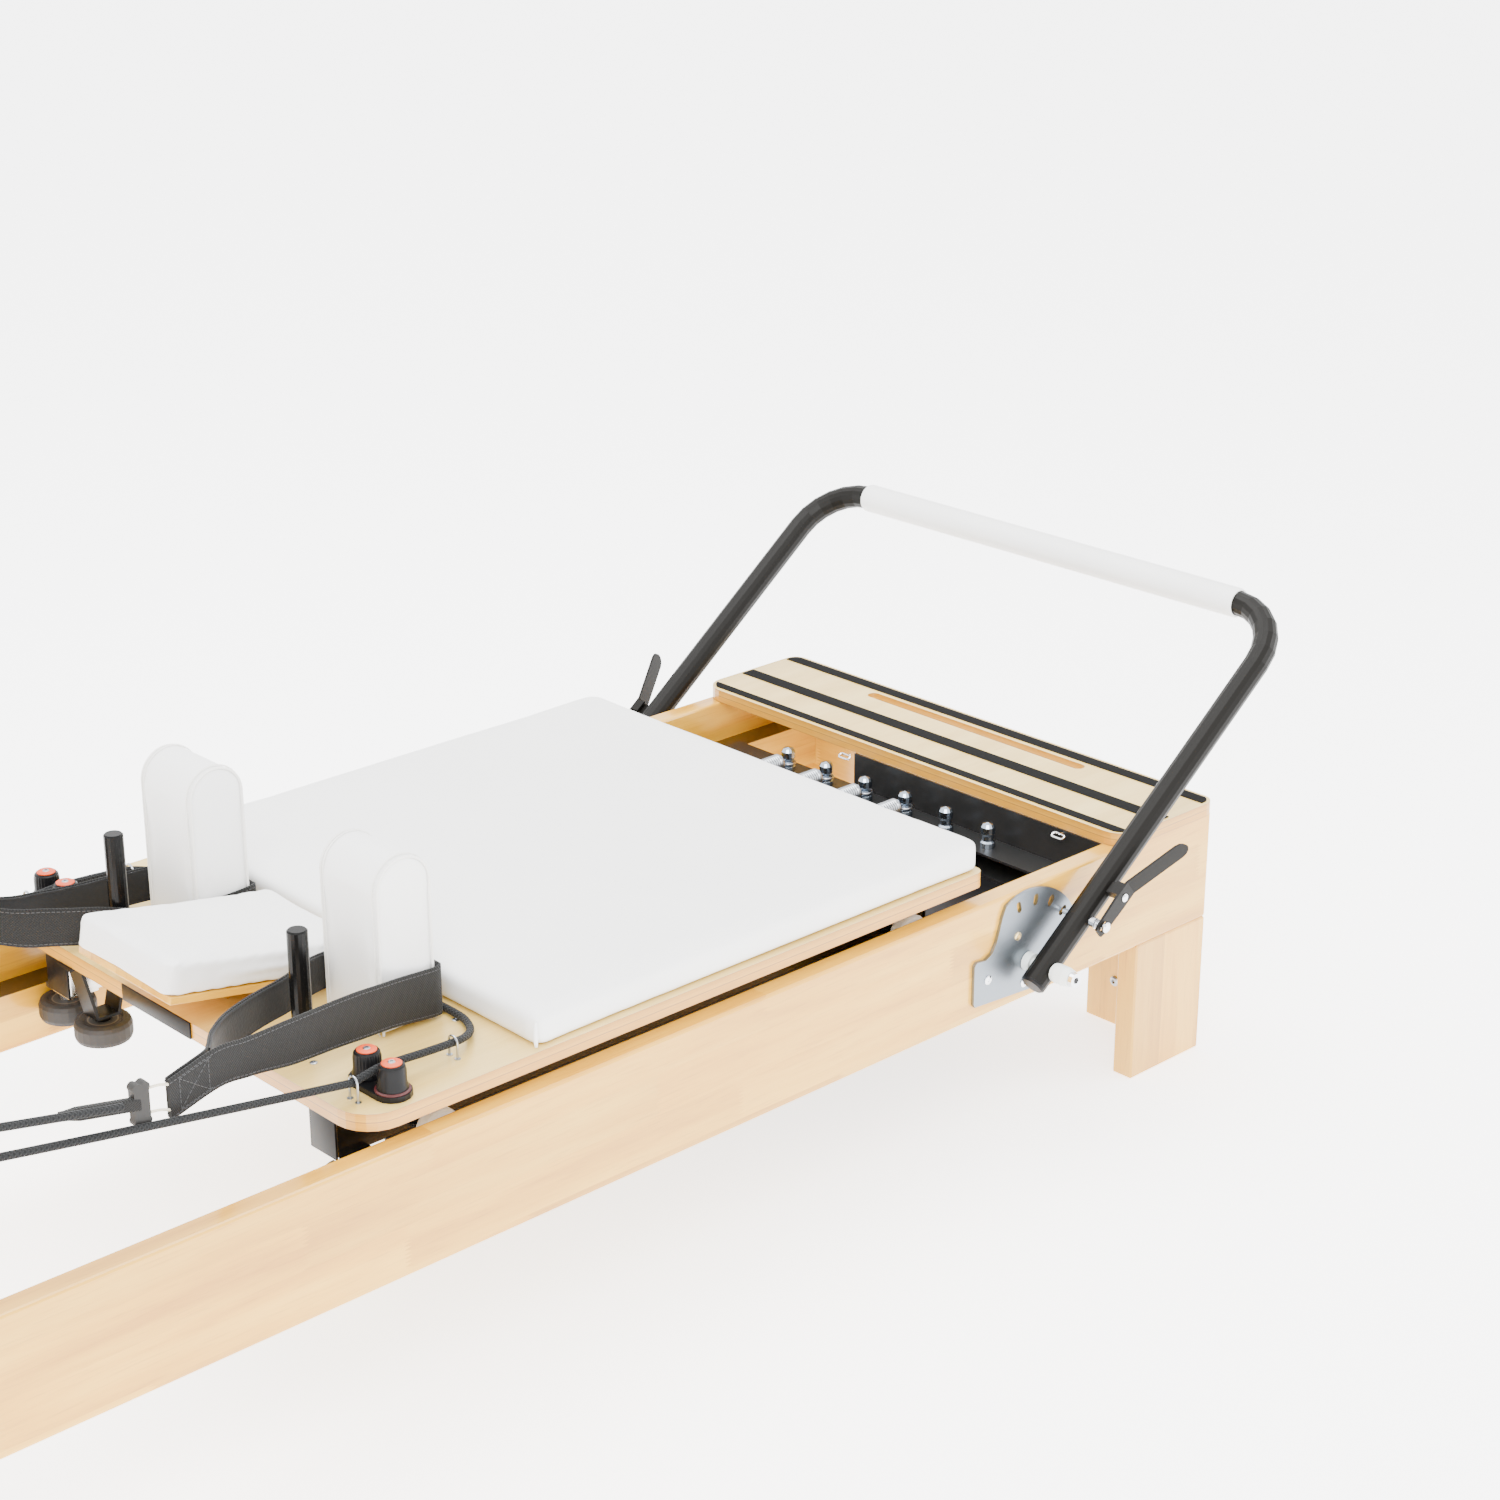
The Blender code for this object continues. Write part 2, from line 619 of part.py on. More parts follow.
def make_beam(side_name, side, metal):
    """Box beam under the deck, with the axles of its running wheels and of its guide wheel."""
    inner, outer = side * BEAM_INNER, side * BEAM_OUTER
    beam = box(f"{side_name}_beam", (along(BEAM_HEAD), min(inner, outer), BEAM_BOTTOM),
               (along(BEAM_FOOT), max(inner, outer), DECK_BOTTOM - GAP), metal, bevel=0.0015)
    axle = [(0.0, 0.255), (0.0095, 0.255), (0.0095, 0.2935), (0.0050, 0.2935), (0.0050, 0.3135),
            (0.0075, 0.3135), (0.0075, 0.3175), (0.0, 0.3175)]
    for index, place in enumerate(RUN_WHEEL_PLACES):
        def stub(bm, place=place):
            fill_turned(bm, [(r, side * y) for r, y in axle], "y", 12, False)
            bmesh.ops.translate(bm, verts=bm.verts,
                                vec=(along(place), 0, LEDGE_TOP + RUN_WHEEL_RADIUS + GAP))

        join(beam, f"axle_{index + 1}", stub)

    plate = (side * 0.226, side * 0.2725)
    join(beam, "guide_plate", lambda bm: fill_box(
        bm, (along(BEAM_HEAD - 0.001), min(plate), BEAM_BOTTOM - 0.005),
        (along(GUIDE_WHEEL_FROM_FOOT - 0.020), max(plate), BEAM_BOTTOM + 0.001)))

    def guide_axle(bm):
        fill_turned(bm, axle_down_profile(BEAM_BOTTOM - 0.003), "z", 12, False)
        bmesh.ops.translate(bm, verts=bm.verts, vec=(along(GUIDE_WHEEL_FROM_FOOT),
                                                     side * GUIDE_WHEEL_Y, 0))

    join(beam, "guide_axle", guide_axle)


def axle_down_profile(top):
    """Axle that hangs from top, with a spacer above the wheel and a head below it."""
    upper = GUIDE_WHEEL_TOP - 0.0010
    lower = GUIDE_WHEEL_TOP - GUIDE_WHEEL_THICK + 0.0010
    return [(0.0, top), (0.0090, top), (0.0090, upper), (0.0040, upper), (0.0040, lower),
            (0.0075, lower), (0.0075, lower - 0.004), (0.0, lower - 0.004)]


def make_inboard_bracket(steel):
    """V-shaped strap under the deck that holds the inboard wheel's axle."""
    center = along(GUIDE_WHEEL_FROM_FOOT)
    top = DECK_BOTTOM - GAP
    floor = GUIDE_WHEEL_TOP + 0.0045
    thick = 0.003
    arm = 0.030
    foot = 0.014
    sole = 0.011
    outer = [(-arm - sole, top), (-arm - sole, top - thick), (-arm, top - thick),
             (-foot, floor), (foot, floor), (arm, top - thick), (arm + sole, top - thick),
             (arm + sole, top)]
    inner = [(arm - thick, top), (foot - thick, floor + thick), (-foot + thick, floor + thick),
             (-arm + thick, top)]
    outline = [(center + x, z) for x, z in outer + inner]
    bracket = add_object("inboard_wheel_bracket", lambda bm: fill_prism(
        bm, outline, INBOARD_WHEEL_Y - 0.0135, INBOARD_WHEEL_Y + 0.0135, "xz"), steel)

    def axle(bm):
        fill_turned(bm, axle_down_profile(floor + thick), "z", 12, False)
        bmesh.ops.translate(bm, verts=bm.verts, vec=(center, INBOARD_WHEEL_Y, 0))

    join(bracket, "axle", axle)


def make_wheels(nylon, rubber):
    for side_name, side in SIDES:
        for end, place in zip(("foot", "head"), RUN_WHEEL_PLACES):
            turned(f"{side_name}_{end}_running_wheel",
                   wheel_profile(0.0053, RUN_WHEEL_RADIUS, side * 0.2945, side * 0.3125)
                   if side > 0 else wheel_profile(0.0053, RUN_WHEEL_RADIUS, -0.3125, -0.2945),
                   "y", nylon, (along(place), 0, LEDGE_TOP + RUN_WHEEL_RADIUS + GAP), sides=20,
                   closed=True)
    low = GUIDE_WHEEL_TOP - GUIDE_WHEEL_THICK
    places = (("near_guide_wheel", -GUIDE_WHEEL_Y), ("far_guide_wheel", GUIDE_WHEEL_Y),
              ("inboard_wheel", INBOARD_WHEEL_Y))
    for name, y in places:
        turned(name, wheel_profile(0.0043, GUIDE_WHEEL_RADIUS, low, GUIDE_WHEEL_TOP), "z", rubber,
               (along(GUIDE_WHEEL_FROM_FOOT), y, 0), sides=24, closed=True)


def make_deck(ply):
    outline = rounded_rect((along(DECK_HEAD), -DECK_HALF), (along(DECK_FOOT), DECK_HALF),
                           (0.040, 0.012, 0.012, 0.040), steps=6)
    add_object("carriage_deck", lambda bm: fill_prism(bm, outline, DECK_BOTTOM, DECK_TOP, "xy"),
               ply, smooth=40)


def make_pad(vinyl):
    half = DECK_HALF - 0.001
    outline = rounded_rect((along(PAD_HEAD), -half), (along(DECK_FOOT), half),
                           (0.016, 0.022, 0.022, 0.016), steps=4)
    pad = add_object("carriage_pad", lambda bm: fill_prism(bm, outline, DECK_TOP + GAP, PAD_TOP,
                                                           "xy"), vinyl, smooth=40)
    add_bevel(pad, 0.006, 1)


def make_shoulder_rest(side_name, side, vinyl):
    """Padded block with an arched top."""
    radius = (REST_HEAD - REST_FOOT) / 2
    middle = along((REST_FOOT + REST_HEAD) / 2)
    low = DECK_TOP + GAP
    outline = [(middle + radius, low), *arc((middle, REST_TOP - radius), radius, 0, 180, 12),
               (middle - radius, low)]
    ends = (side * REST_INNER, side * REST_OUTER)
    add_object(f"{side_name}_shoulder_rest", lambda bm: fill_prism(
        bm, outline, min(ends), max(ends), "xz"), vinyl, smooth=30)


def make_strap_post(side_name, side, paint):
    profile = [(0.0, DECK_TOP + GAP), (STRAP_POST_RADIUS, DECK_TOP + GAP),
               (STRAP_POST_RADIUS, STRAP_POST_TOP - 0.0015),
               (STRAP_POST_RADIUS - 0.0015, STRAP_POST_TOP), (0.0, STRAP_POST_TOP)]
    turned(f"{side_name}_strap_post", profile, "z", paint,
           (along(STRAP_POST_FROM_FOOT), side * STRAP_POST_Y, 0), sides=18)


def make_headrest(wood, vinyl):
    """Tilting board and pad; the hinge line is the board's end beside the carriage pad."""
    hinge = empty("headrest_hinge", (along(HEADREST_HINGE), 0, HEADREST_HINGE_Z),
                  (0, HEADREST_TILT, 0))
    box("headrest_board", (-HEADREST_LENGTH + 0.008, -HEADREST_HALF + 0.004, -0.004),
        (0.004, HEADREST_HALF - 0.004, 0.004), wood, bevel=0.001, parent=hinge)
    outline = rounded_rect((-HEADREST_LENGTH, -HEADREST_HALF), (0.010, HEADREST_HALF),
                           (0.014, 0.014, 0.014, 0.014), steps=3)
    pad = add_object("headrest_pad", lambda bm: fill_prism(bm, outline, 0.004 + GAP, 0.040, "xy"),
                     vinyl, parent=hinge, smooth=40)
    add_bevel(pad, 0.006, 1)
    return hinge


def make_headrest_prop(hinge, wood):
    """Flap under the headrest board that stands on the deck and holds the tilt."""
    reach = 0.055
    thick = 0.004
    swing = math.radians(21.5)
    pivot = empty("headrest_prop_hinge", (-0.165, 0, -0.0080), (0, swing, 0), parent=hinge)
    outline = [(0.0, -thick / 2), (reach - thick / 2, -thick / 2),
               *arc((reach - thick / 2, 0), thick / 2, -90, 90, 4)[1:-1],
               (reach - thick / 2, thick / 2), (0.0, thick / 2),
               *arc((0, 0), thick / 2, 90, 270, 4)[1:-1]]
    add_object("headrest_prop", lambda bm: fill_prism(bm, outline, -0.030, 0.030, "xz"), wood,
               parent=pivot)


def make_spring_anchor(steel):
    half = BEAM_INNER - GAP
    box("spring_anchor", (along(ANCHOR_FROM_FOOT + 0.030), -half, 0.270),
        (along(ANCHOR_FROM_FOOT), half, DECK_BOTTOM - GAP), steel, bevel=0.001)


def make_springs(steel):
    """Four springs hooked on the posts; the two posts at the near side stay free."""
    post_reach = 0.0093 + GAP
    for number in range(4):
        y = (number - 0.5) * POST_PITCH
        low = along(ANCHOR_FROM_FOOT - GAP)
        high = along(BAR_FROM_FOOT + post_reach)
        turned(f"spring_{number + 1}", [(r, x - high) for r, x in rod_profile(
            SPRING_RADIUS, low, high)], "x", steel, (high, y, SPRING_Z), sides=10)


# ---------------------------------------------------------------- cleats, ropes, straps
def make_cleat(side_name, side, plastic, cap):
    """Base plate with two cams that grip the rope between them."""
    x = along(CAM_FROM_FOOT)
    radius = 0.019
    outline = arc((x, CAM_INNER_Y), radius, 180, 360, 8) + arc((x, CAM_OUTER_Y), radius, 0, 180, 8)
    low = DECK_TOP + GAP
    top = 0.3500
    base = add_object(f"{side_name}_cleat_base", lambda bm: fill_prism(
        bm, [(a, side * b) for a, b in outline], low, top, "xy"), plastic, smooth=40)
    for name, y in (("inner", CAM_INNER_Y), ("outer", CAM_OUTER_Y)):
        def pin(bm, y=y):
            fill_turned(bm, rod_profile(0.0030, top - 0.001, CAM_TOP - 0.004), "z", 8, False)
            bmesh.ops.translate(bm, verts=bm.verts, vec=(x, side * y, 0))

        join(base, f"{name}_pin", pin)
        profile = [(0.0034, top + GAP), (CAM_RADIUS, top + GAP), (CAM_RADIUS, CAM_TOP - 0.006),
                   (CAM_RADIUS - 0.002, CAM_TOP - 0.001), (0.0100, CAM_TOP - 0.001),
                   (0.0095, CAM_TOP), (0.0034, CAM_TOP)]
        turned(f"{side_name}_{name}_cam", profile, "z", cap, (x, side * y, 0), sides=18,
               closed=True)


def tangent_angle(point, upper):
    """Angle on the pulley where a straight rope from point (from foot, z) touches it."""
    dx = PULLEY_FROM_FOOT - point[0]
    dz = point[1] - PULLEY_Z
    reach = math.hypot(dx, dz)
    middle = math.atan2(dz, dx)
    offset = math.acos(PULLEY_PITCH / reach)
    return middle + offset if upper else middle - offset


# rope tail at the shoulder rest, through the cleat to the head end: (from foot, |y|, z)
ROPE_TAIL = [(1.0310, 0.1850, 0.3490), (1.0310, 0.2150, 0.3492), (1.0345, 0.2400, 0.3500),
             (1.0470, 0.2640, 0.3520), (1.0660, 0.2790, 0.3560), (1.0870, 0.2865, 0.3600),
             (1.1200, 0.2885, 0.3625), (1.1500, 0.2885, 0.3645), (1.1740, 0.2885, 0.3655),
             (1.1900, 0.2895, 0.3640)]
ROPE_LEAVES_DECK = (1.2080, 0.2920, 0.3625)
ROPE_MEETS_STRAP = (1.4550, 0.3000, 0.4310)


def make_rope(side_name, side, cord):
    """Rope from the cleat to the head-end pulley, round it and back to the strap."""
    points = [Vector((along(d), side * y, z)) for d, y, z in ROPE_TAIL]
    points = smooth_path(points + [Vector((along(ROPE_LEAVES_DECK[0]), side * ROPE_LEAVES_DECK[1],
                                           ROPE_LEAVES_DECK[2]))], 0.014)
    low = tangent_angle((ROPE_LEAVES_DECK[0], ROPE_LEAVES_DECK[2]), False)
    high = tangent_angle((ROPE_MEETS_STRAP[0], ROPE_MEETS_STRAP[2]), True)
    steps = 12
    for i in range(steps + 1):
        angle = low - (low + 2 * math.pi - high) * i / steps
        points.append(Vector((along(PULLEY_FROM_FOOT) + PULLEY_PITCH * math.cos(angle),
                              side * PULLEY_Y, PULLEY_Z + PULLEY_PITCH * math.sin(angle))))
    points.append(Vector((along(ROPE_MEETS_STRAP[0]), side * ROPE_MEETS_STRAP[1],
                          ROPE_MEETS_STRAP[2])))
    add_object(f"{side_name}_rope", lambda bm: fill_tube(bm, points, ROPE_RADIUS, 8), cord,
               smooth=60)


# strap loop round the shoulder rest and post, tail to tail: (from foot, |y|, middle z, height)
STRAP_LOOP = {
    "near": [(1.3980, 0.2830, 0.4100, 0.040), (1.3400, 0.2700, 0.4170, 0.040),
             (1.3000, 0.2620, 0.4110, 0.041), (1.2500, 0.2530, 0.4040, 0.047),
             (1.1800, 0.2370, 0.3965, 0.050), (1.1100, 0.2220, 0.3880, 0.051),
             (1.0500, 0.2120, 0.3815, 0.047), (1.0400, 0.2080, 0.3800, 0.046),
             (1.0385, 0.1980, 0.3795, 0.044), (1.0385, 0.1220, 0.3790, 0.040),
             (1.0400, 0.1120, 0.3790, 0.040), (1.0500, 0.1080, 0.3795, 0.040),
             (1.1020, 0.1080, 0.3820, 0.040), (1.1400, 0.1200, 0.3850, 0.040),
             (1.1725, 0.1360, 0.3870, 0.040), (1.2170, 0.1490, 0.3880, 0.040),
             (1.2640, 0.1720, 0.3910, 0.040), (1.2990, 0.2010, 0.3960, 0.040),
             (1.3250, 0.2340, 0.4030, 0.040), (1.3480, 0.2600, 0.4120, 0.040),
             (1.3960, 0.2765, 0.4100, 0.040)],
    "far": [(1.3980, 0.2830, 0.4100, 0.040), (1.3400, 0.2700, 0.3950, 0.040),
            (1.2950, 0.2640, 0.3800, 0.040), (1.2520, 0.2570, 0.3690, 0.040),
            (1.2170, 0.2490, 0.3665, 0.040), (1.1840, 0.2405, 0.3665, 0.040),
            (1.1500, 0.2320, 0.3680, 0.040), (1.1100, 0.2200, 0.3710, 0.040),
            (1.0500, 0.2120, 0.3690, 0.040), (1.0400, 0.2080, 0.3670, 0.040),
            (1.0385, 0.1980, 0.3665, 0.040), (1.0385, 0.1220, 0.3665, 0.040),
            (1.0400, 0.1120, 0.3665, 0.040), (1.0500, 0.1080, 0.3665, 0.040),
            (1.1020, 0.1080, 0.3665, 0.040), (1.1400, 0.1200, 0.3670, 0.041),
            (1.1720, 0.1415, 0.3675, 0.042), (1.2020, 0.1660, 0.3685, 0.043),
            (1.2350, 0.1930, 0.3690, 0.043), (1.2640, 0.2150, 0.3700, 0.043),
            (1.3000, 0.2380, 0.3800, 0.041), (1.3480, 0.2620, 0.3960, 0.040),
            (1.3960, 0.2765, 0.4100, 0.040)],
}
STRAP_THICK = 0.0045


def make_strap(side_name, side, webbing):
    """Webbing band on edge: out round the shoulder rest and post, and back to its own tail."""
    stations = smooth_path([(along(d), side * y, z, height)
                            for d, y, z, height in STRAP_LOOP[side_name]], 0.022)
    points = [station.to_3d() for station in stations]

    def band(bm):
        rings = []
        for i, point in enumerate(points):
            before = points[max(i - 1, 0)]
            after = points[min(i + 1, len(points) - 1)]
            run = (after - before)
            out = Vector((-run.y, run.x, 0)).normalized() * STRAP_THICK / 2
            up = Vector((0, 0, stations[i][3] / 2))
            rings.append([bm.verts.new(point + s * out + t * up)
                          for s, t in ((1, 1), (-1, 1), (-1, -1), (1, -1))])
        for first, second in zip(rings, rings[1:]):
            bridge_rings(bm, first, second)
        bm.faces.new(rings[0])
        bm.faces.new(rings[-1])

    add_object(f"{side_name}_strap", band, webbing)


# ---------------------------------------------------------------- head end
def make_riser(side_name, side, paint):
    """Post on the rail with an arm and a fork that holds the pulley's axle."""
    x = along(RISER_FROM_FOOT)
    profile = [(0.0, RAIL_TOP + GAP), (0.0125, RAIL_TOP + GAP), (0.0125, RISER_TOP - 0.002),
               (0.0105, RISER_TOP), (0.0, RISER_TOP)]
    riser = turned(f"{side_name}_riser", [(0.0110 if r > 0.0105 else r, z) for r, z in profile],
                   "z", paint, (x, side * RISER_Y, 0), sides=16)
    flange = (side * 0.3245, side * 0.3495)
    join(riser, "flange", lambda bm: fill_box(
        bm, (x - 0.026, min(flange), RAIL_TOP + GAP), (x + 0.030, max(flange), RAIL_TOP + 0.0055)))
    arm = (side * (PULLEY_Y - 0.0135), side * RISER_Y)
    join(riser, "arm", lambda bm: fill_box(
        bm, (x - 0.008, min(arm), PULLEY_Z - 0.012), (x + 0.009, max(arm), PULLEY_Z + 0.012)))
    for index, offset in enumerate((-0.0120, 0.0120)):
        middle = side * (PULLEY_Y + offset)

        def cheek(bm, middle=middle):
            fill_box(bm, (x + 0.004, middle - 0.0015, PULLEY_Z - 0.012),
                     (along(PULLEY_FROM_FOOT) + 0.010, middle + 0.0015, PULLEY_Z + 0.012))

        join(riser, f"cheek_{index + 1}", cheek)

    def axle(bm):
        fill_turned(bm, rod_profile(0.0040, -0.0130, 0.0130), "y", 12, False)
        bmesh.ops.translate(bm, verts=bm.verts, vec=(along(PULLEY_FROM_FOOT), side * PULLEY_Y,
                                                     PULLEY_Z))

    join(riser, "axle", axle)


def make_pulley(side_name, side, plastic):
    bore = 0.0043
    rim = PULLEY_PITCH + ROPE_RADIUS
    floor = PULLEY_PITCH - ROPE_RADIUS - GAP
    half = 0.0080
    groove = ROPE_RADIUS + GAP + 0.0003
    profile = [(bore, -half), (rim, -half), (rim, -groove - 0.0004), (floor, -groove),
               (floor, groove), (rim, groove + 0.0004), (rim, half), (bore, half)]
    turned(f"{side_name}_pulley", profile, "y", plastic,
           (along(PULLEY_FROM_FOOT), side * PULLEY_Y, PULLEY_Z), sides=24, closed=True)


# ---------------------------------------------------------------- assembly
def main():
    clear_scene()
    wood = material("maple", (0.78, 0.56, 0.31), 0.35)
    ply = material("birch_ply", (0.80, 0.66, 0.44), 0.45)
    vinyl = material("white_vinyl", (0.86, 0.86, 0.85), 0.5)
    black_steel = material("black_steel", (0.025, 0.025, 0.026), 0.42, 0.2)
    chrome = material("chrome", (0.75, 0.76, 0.78), 0.18, 1.0)
    plate_steel = material("plate_steel", (0.62, 0.64, 0.66), 0.28, 1.0)
    aluminium = material("aluminium", (0.72, 0.71, 0.70), 0.35, 1.0)
    nylon = material("white_nylon", (0.78, 0.80, 0.79), 0.4)
    rubber = material("black_rubber", (0.045, 0.042, 0.040), 0.8)
    black_plastic = material("black_plastic", (0.03, 0.03, 0.03), 0.45)
    webbing = material("black_webbing", (0.03, 0.03, 0.032), 0.85)
    cord = material("black_cord", (0.028, 0.028, 0.03), 0.8)

    for side_name, side in SIDES:
        make_rail(side_name, side, wood)
        make_leg(f"{side_name}_foot_leg", side, 0.0, wood)
        make_leg(f"{side_name}_head_leg", side, FRAME_LENGTH, wood)
        make_gear_plate(side_name, side, plate_steel)
        make_pivot(side_name, side, chrome, nylon)
        make_riser(side_name, side, black_steel)
        make_pulley(side_name, side, black_plastic)
    make_end_board("foot_board", 0.0, wood)
    make_end_board("head_board", FRAME_LENGTH - BOARD_THICK, wood)
    make_platform(ply)
    make_spring_bar(black_steel)

    hub = make_footbar(black_steel, vinyl)
    for side_name, side in SIDES:
        make_lever(side_name, side, hub, black_steel, chrome)

    make_deck(ply)
    make_pad(vinyl)
    for side_name, side in SIDES:
        make_beam(side_name, side, aluminium)
        make_shoulder_rest(side_name, side, vinyl)
        make_strap_post(side_name, side, black_steel)
        make_cleat(side_name, side, black_plastic, black_plastic)
        make_rope(side_name, side, cord)
        make_strap(side_name, side, webbing)
    make_inboard_bracket(black_steel)
    make_wheels(nylon, rubber)
    make_spring_anchor(black_steel)
    make_springs(chrome)
    make_headrest_prop(make_headrest(wood, vinyl), wood)


main()
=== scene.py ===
"""Looks for the pilates reformer: materials, upholstery, ropes, straps and small hardware.

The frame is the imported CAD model, in metres: +X is the foot end, -Y the near side, +Z up.
Lengths along the machine are distances from the foot-end face; along(d) gives their X.
"""
import math

import bmesh
import bpy
from mathutils import Matrix, Vector, noise


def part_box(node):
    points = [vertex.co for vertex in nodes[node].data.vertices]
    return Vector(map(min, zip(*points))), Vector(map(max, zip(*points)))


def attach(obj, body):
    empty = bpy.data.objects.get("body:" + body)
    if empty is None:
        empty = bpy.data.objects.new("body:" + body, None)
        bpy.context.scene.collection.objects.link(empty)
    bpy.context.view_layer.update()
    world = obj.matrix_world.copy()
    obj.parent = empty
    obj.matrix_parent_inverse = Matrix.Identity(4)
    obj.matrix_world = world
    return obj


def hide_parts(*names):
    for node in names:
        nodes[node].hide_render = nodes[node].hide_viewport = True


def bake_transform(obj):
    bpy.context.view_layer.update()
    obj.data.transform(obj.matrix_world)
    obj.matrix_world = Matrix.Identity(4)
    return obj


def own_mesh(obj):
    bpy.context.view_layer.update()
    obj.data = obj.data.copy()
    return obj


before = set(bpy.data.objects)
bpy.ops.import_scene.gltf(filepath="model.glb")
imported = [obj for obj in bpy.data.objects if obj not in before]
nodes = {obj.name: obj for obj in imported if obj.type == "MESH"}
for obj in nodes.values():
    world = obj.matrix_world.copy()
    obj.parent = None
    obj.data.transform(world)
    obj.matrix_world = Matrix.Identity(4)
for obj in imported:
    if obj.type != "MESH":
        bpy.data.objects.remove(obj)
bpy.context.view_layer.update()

# ---------------------------------------------------------------- sizes shared with the CAD
FOOT_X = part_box("near_rail")[1][0]
DECK_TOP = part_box("carriage_deck")[1][2]
PLATFORM_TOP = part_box("foot_platform")[1][2]
PIVOT_FROM_FOOT = 0.328
PIVOT_Z = 0.224
LEG_ANGLE = math.radians(37.5)
LEG_Y = 0.380
LEVER_Y = 0.4085
PIN_FROM_PIVOT = 0.0725
LEVER_FROM_PIVOT = 0.1185
PLATE_FACE_Y = 0.3543
REST_FOOT, REST_HEAD = 1.044, 1.110
REST_INNER, REST_OUTER = 0.113, 0.207
REST_TOP = 0.527
PULLEY_FROM_FOOT, PULLEY_Y, PULLEY_Z = 2.375, 0.300, 0.604
PULLEY_PITCH = 0.027
RISER_FROM_FOOT = 2.422
ROPE_RADIUS = 0.0040
CAM_FROM_FOOT = 1.174
TRAVEL = 0.85
STRAP_KEEP = 0.85
SIDES = (("near", -1), ("far", 1))


def along(distance):
    """X of a place this far from the foot-end face."""
    return FOOT_X - distance


def leg_point(distance, across, y):
    """Point this far up the footbar's leg from its pivot, and this far above its middle line."""
    dx = distance * math.cos(LEG_ANGLE) - across * math.sin(LEG_ANGLE)
    dz = distance * math.sin(LEG_ANGLE) + across * math.cos(LEG_ANGLE)
    return Vector((along(PIVOT_FROM_FOOT) + dx, y, PIVOT_Z + dz))


# ---------------------------------------------------------------- camera and light
def make_stage():
    """Camera at the machine's head end, a pale floor, an even white world and three lamps."""
    camera_data = bpy.data.cameras.new("camera")
    camera_data.lens = 70.61
    camera_data.sensor_width = 36
    camera_data.clip_end = 100
    camera = bpy.data.objects.new("camera", camera_data)
    right = Vector((0.72723, -0.68639, -0.00102))
    forward = Vector((0.63981, 0.67841, -0.36111))
    right = (right - forward * right.dot(forward) / forward.length_squared).normalized()
    forward.normalize()
    up = right.cross(forward)
    camera.matrix_world = Matrix.Translation((FOOT_X - 2.6163, -2.3258, 1.6421)) @ Matrix(
        (right, up, -forward)).transposed().to_4x4()
    bpy.context.collection.objects.link(camera)
    bpy.context.scene.camera = camera

    world = bpy.data.worlds.new("studio")
    world.use_nodes = True
    world.node_tree.nodes["Background"].inputs["Color"].default_value = (1.0, 1.0, 1.0, 1)
    world.node_tree.nodes["Background"].inputs["Strength"].default_value = 3.2
    bpy.context.scene.world = world
    add_area("key_light", (-1.9, -2.4, 3.2), (0.3, 0, 0.3), 2.2, 180)
    add_area("top_light", (0.6, 0.6, 3.4), (0.2, 0, 0.3), 2.6, 125)
    add_area("fill_light", (3.0, -2.2, 1.6), (0.3, 0, 0.3), 1.8, 44)

    mesh = bpy.data.meshes.new("floor")
    reach = 30.0
    mesh.from_pydata([(-reach, -reach, 0), (reach, -reach, 0), (reach, reach, 0),
                      (-reach, reach, 0)], [], [(0, 1, 2, 3)])
    floor = bpy.data.objects.new("floor", mesh)
    floor.location.z = -0.0005
    white = Shader("floor_white", 0.9, 0.0, (0.98, 0.98, 0.98))
    white.set("Emission Color", (1, 1, 1, 1))
    white.set("Emission Strength", 2.6)
    mesh.materials.append(white.material)
    bpy.context.collection.objects.link(floor)


def add_area(name, location, target, size, power):
    data = bpy.data.lights.new(name, "AREA")
    data.shape = "DISK"
    data.size = size
    data.energy = power
    light = bpy.data.objects.new(name, data)
    light.location = location
    direction = Vector(target) - Vector(location)
    light.rotation_euler = direction.to_track_quat("-Z", "Y").to_euler()
    bpy.context.collection.objects.link(light)


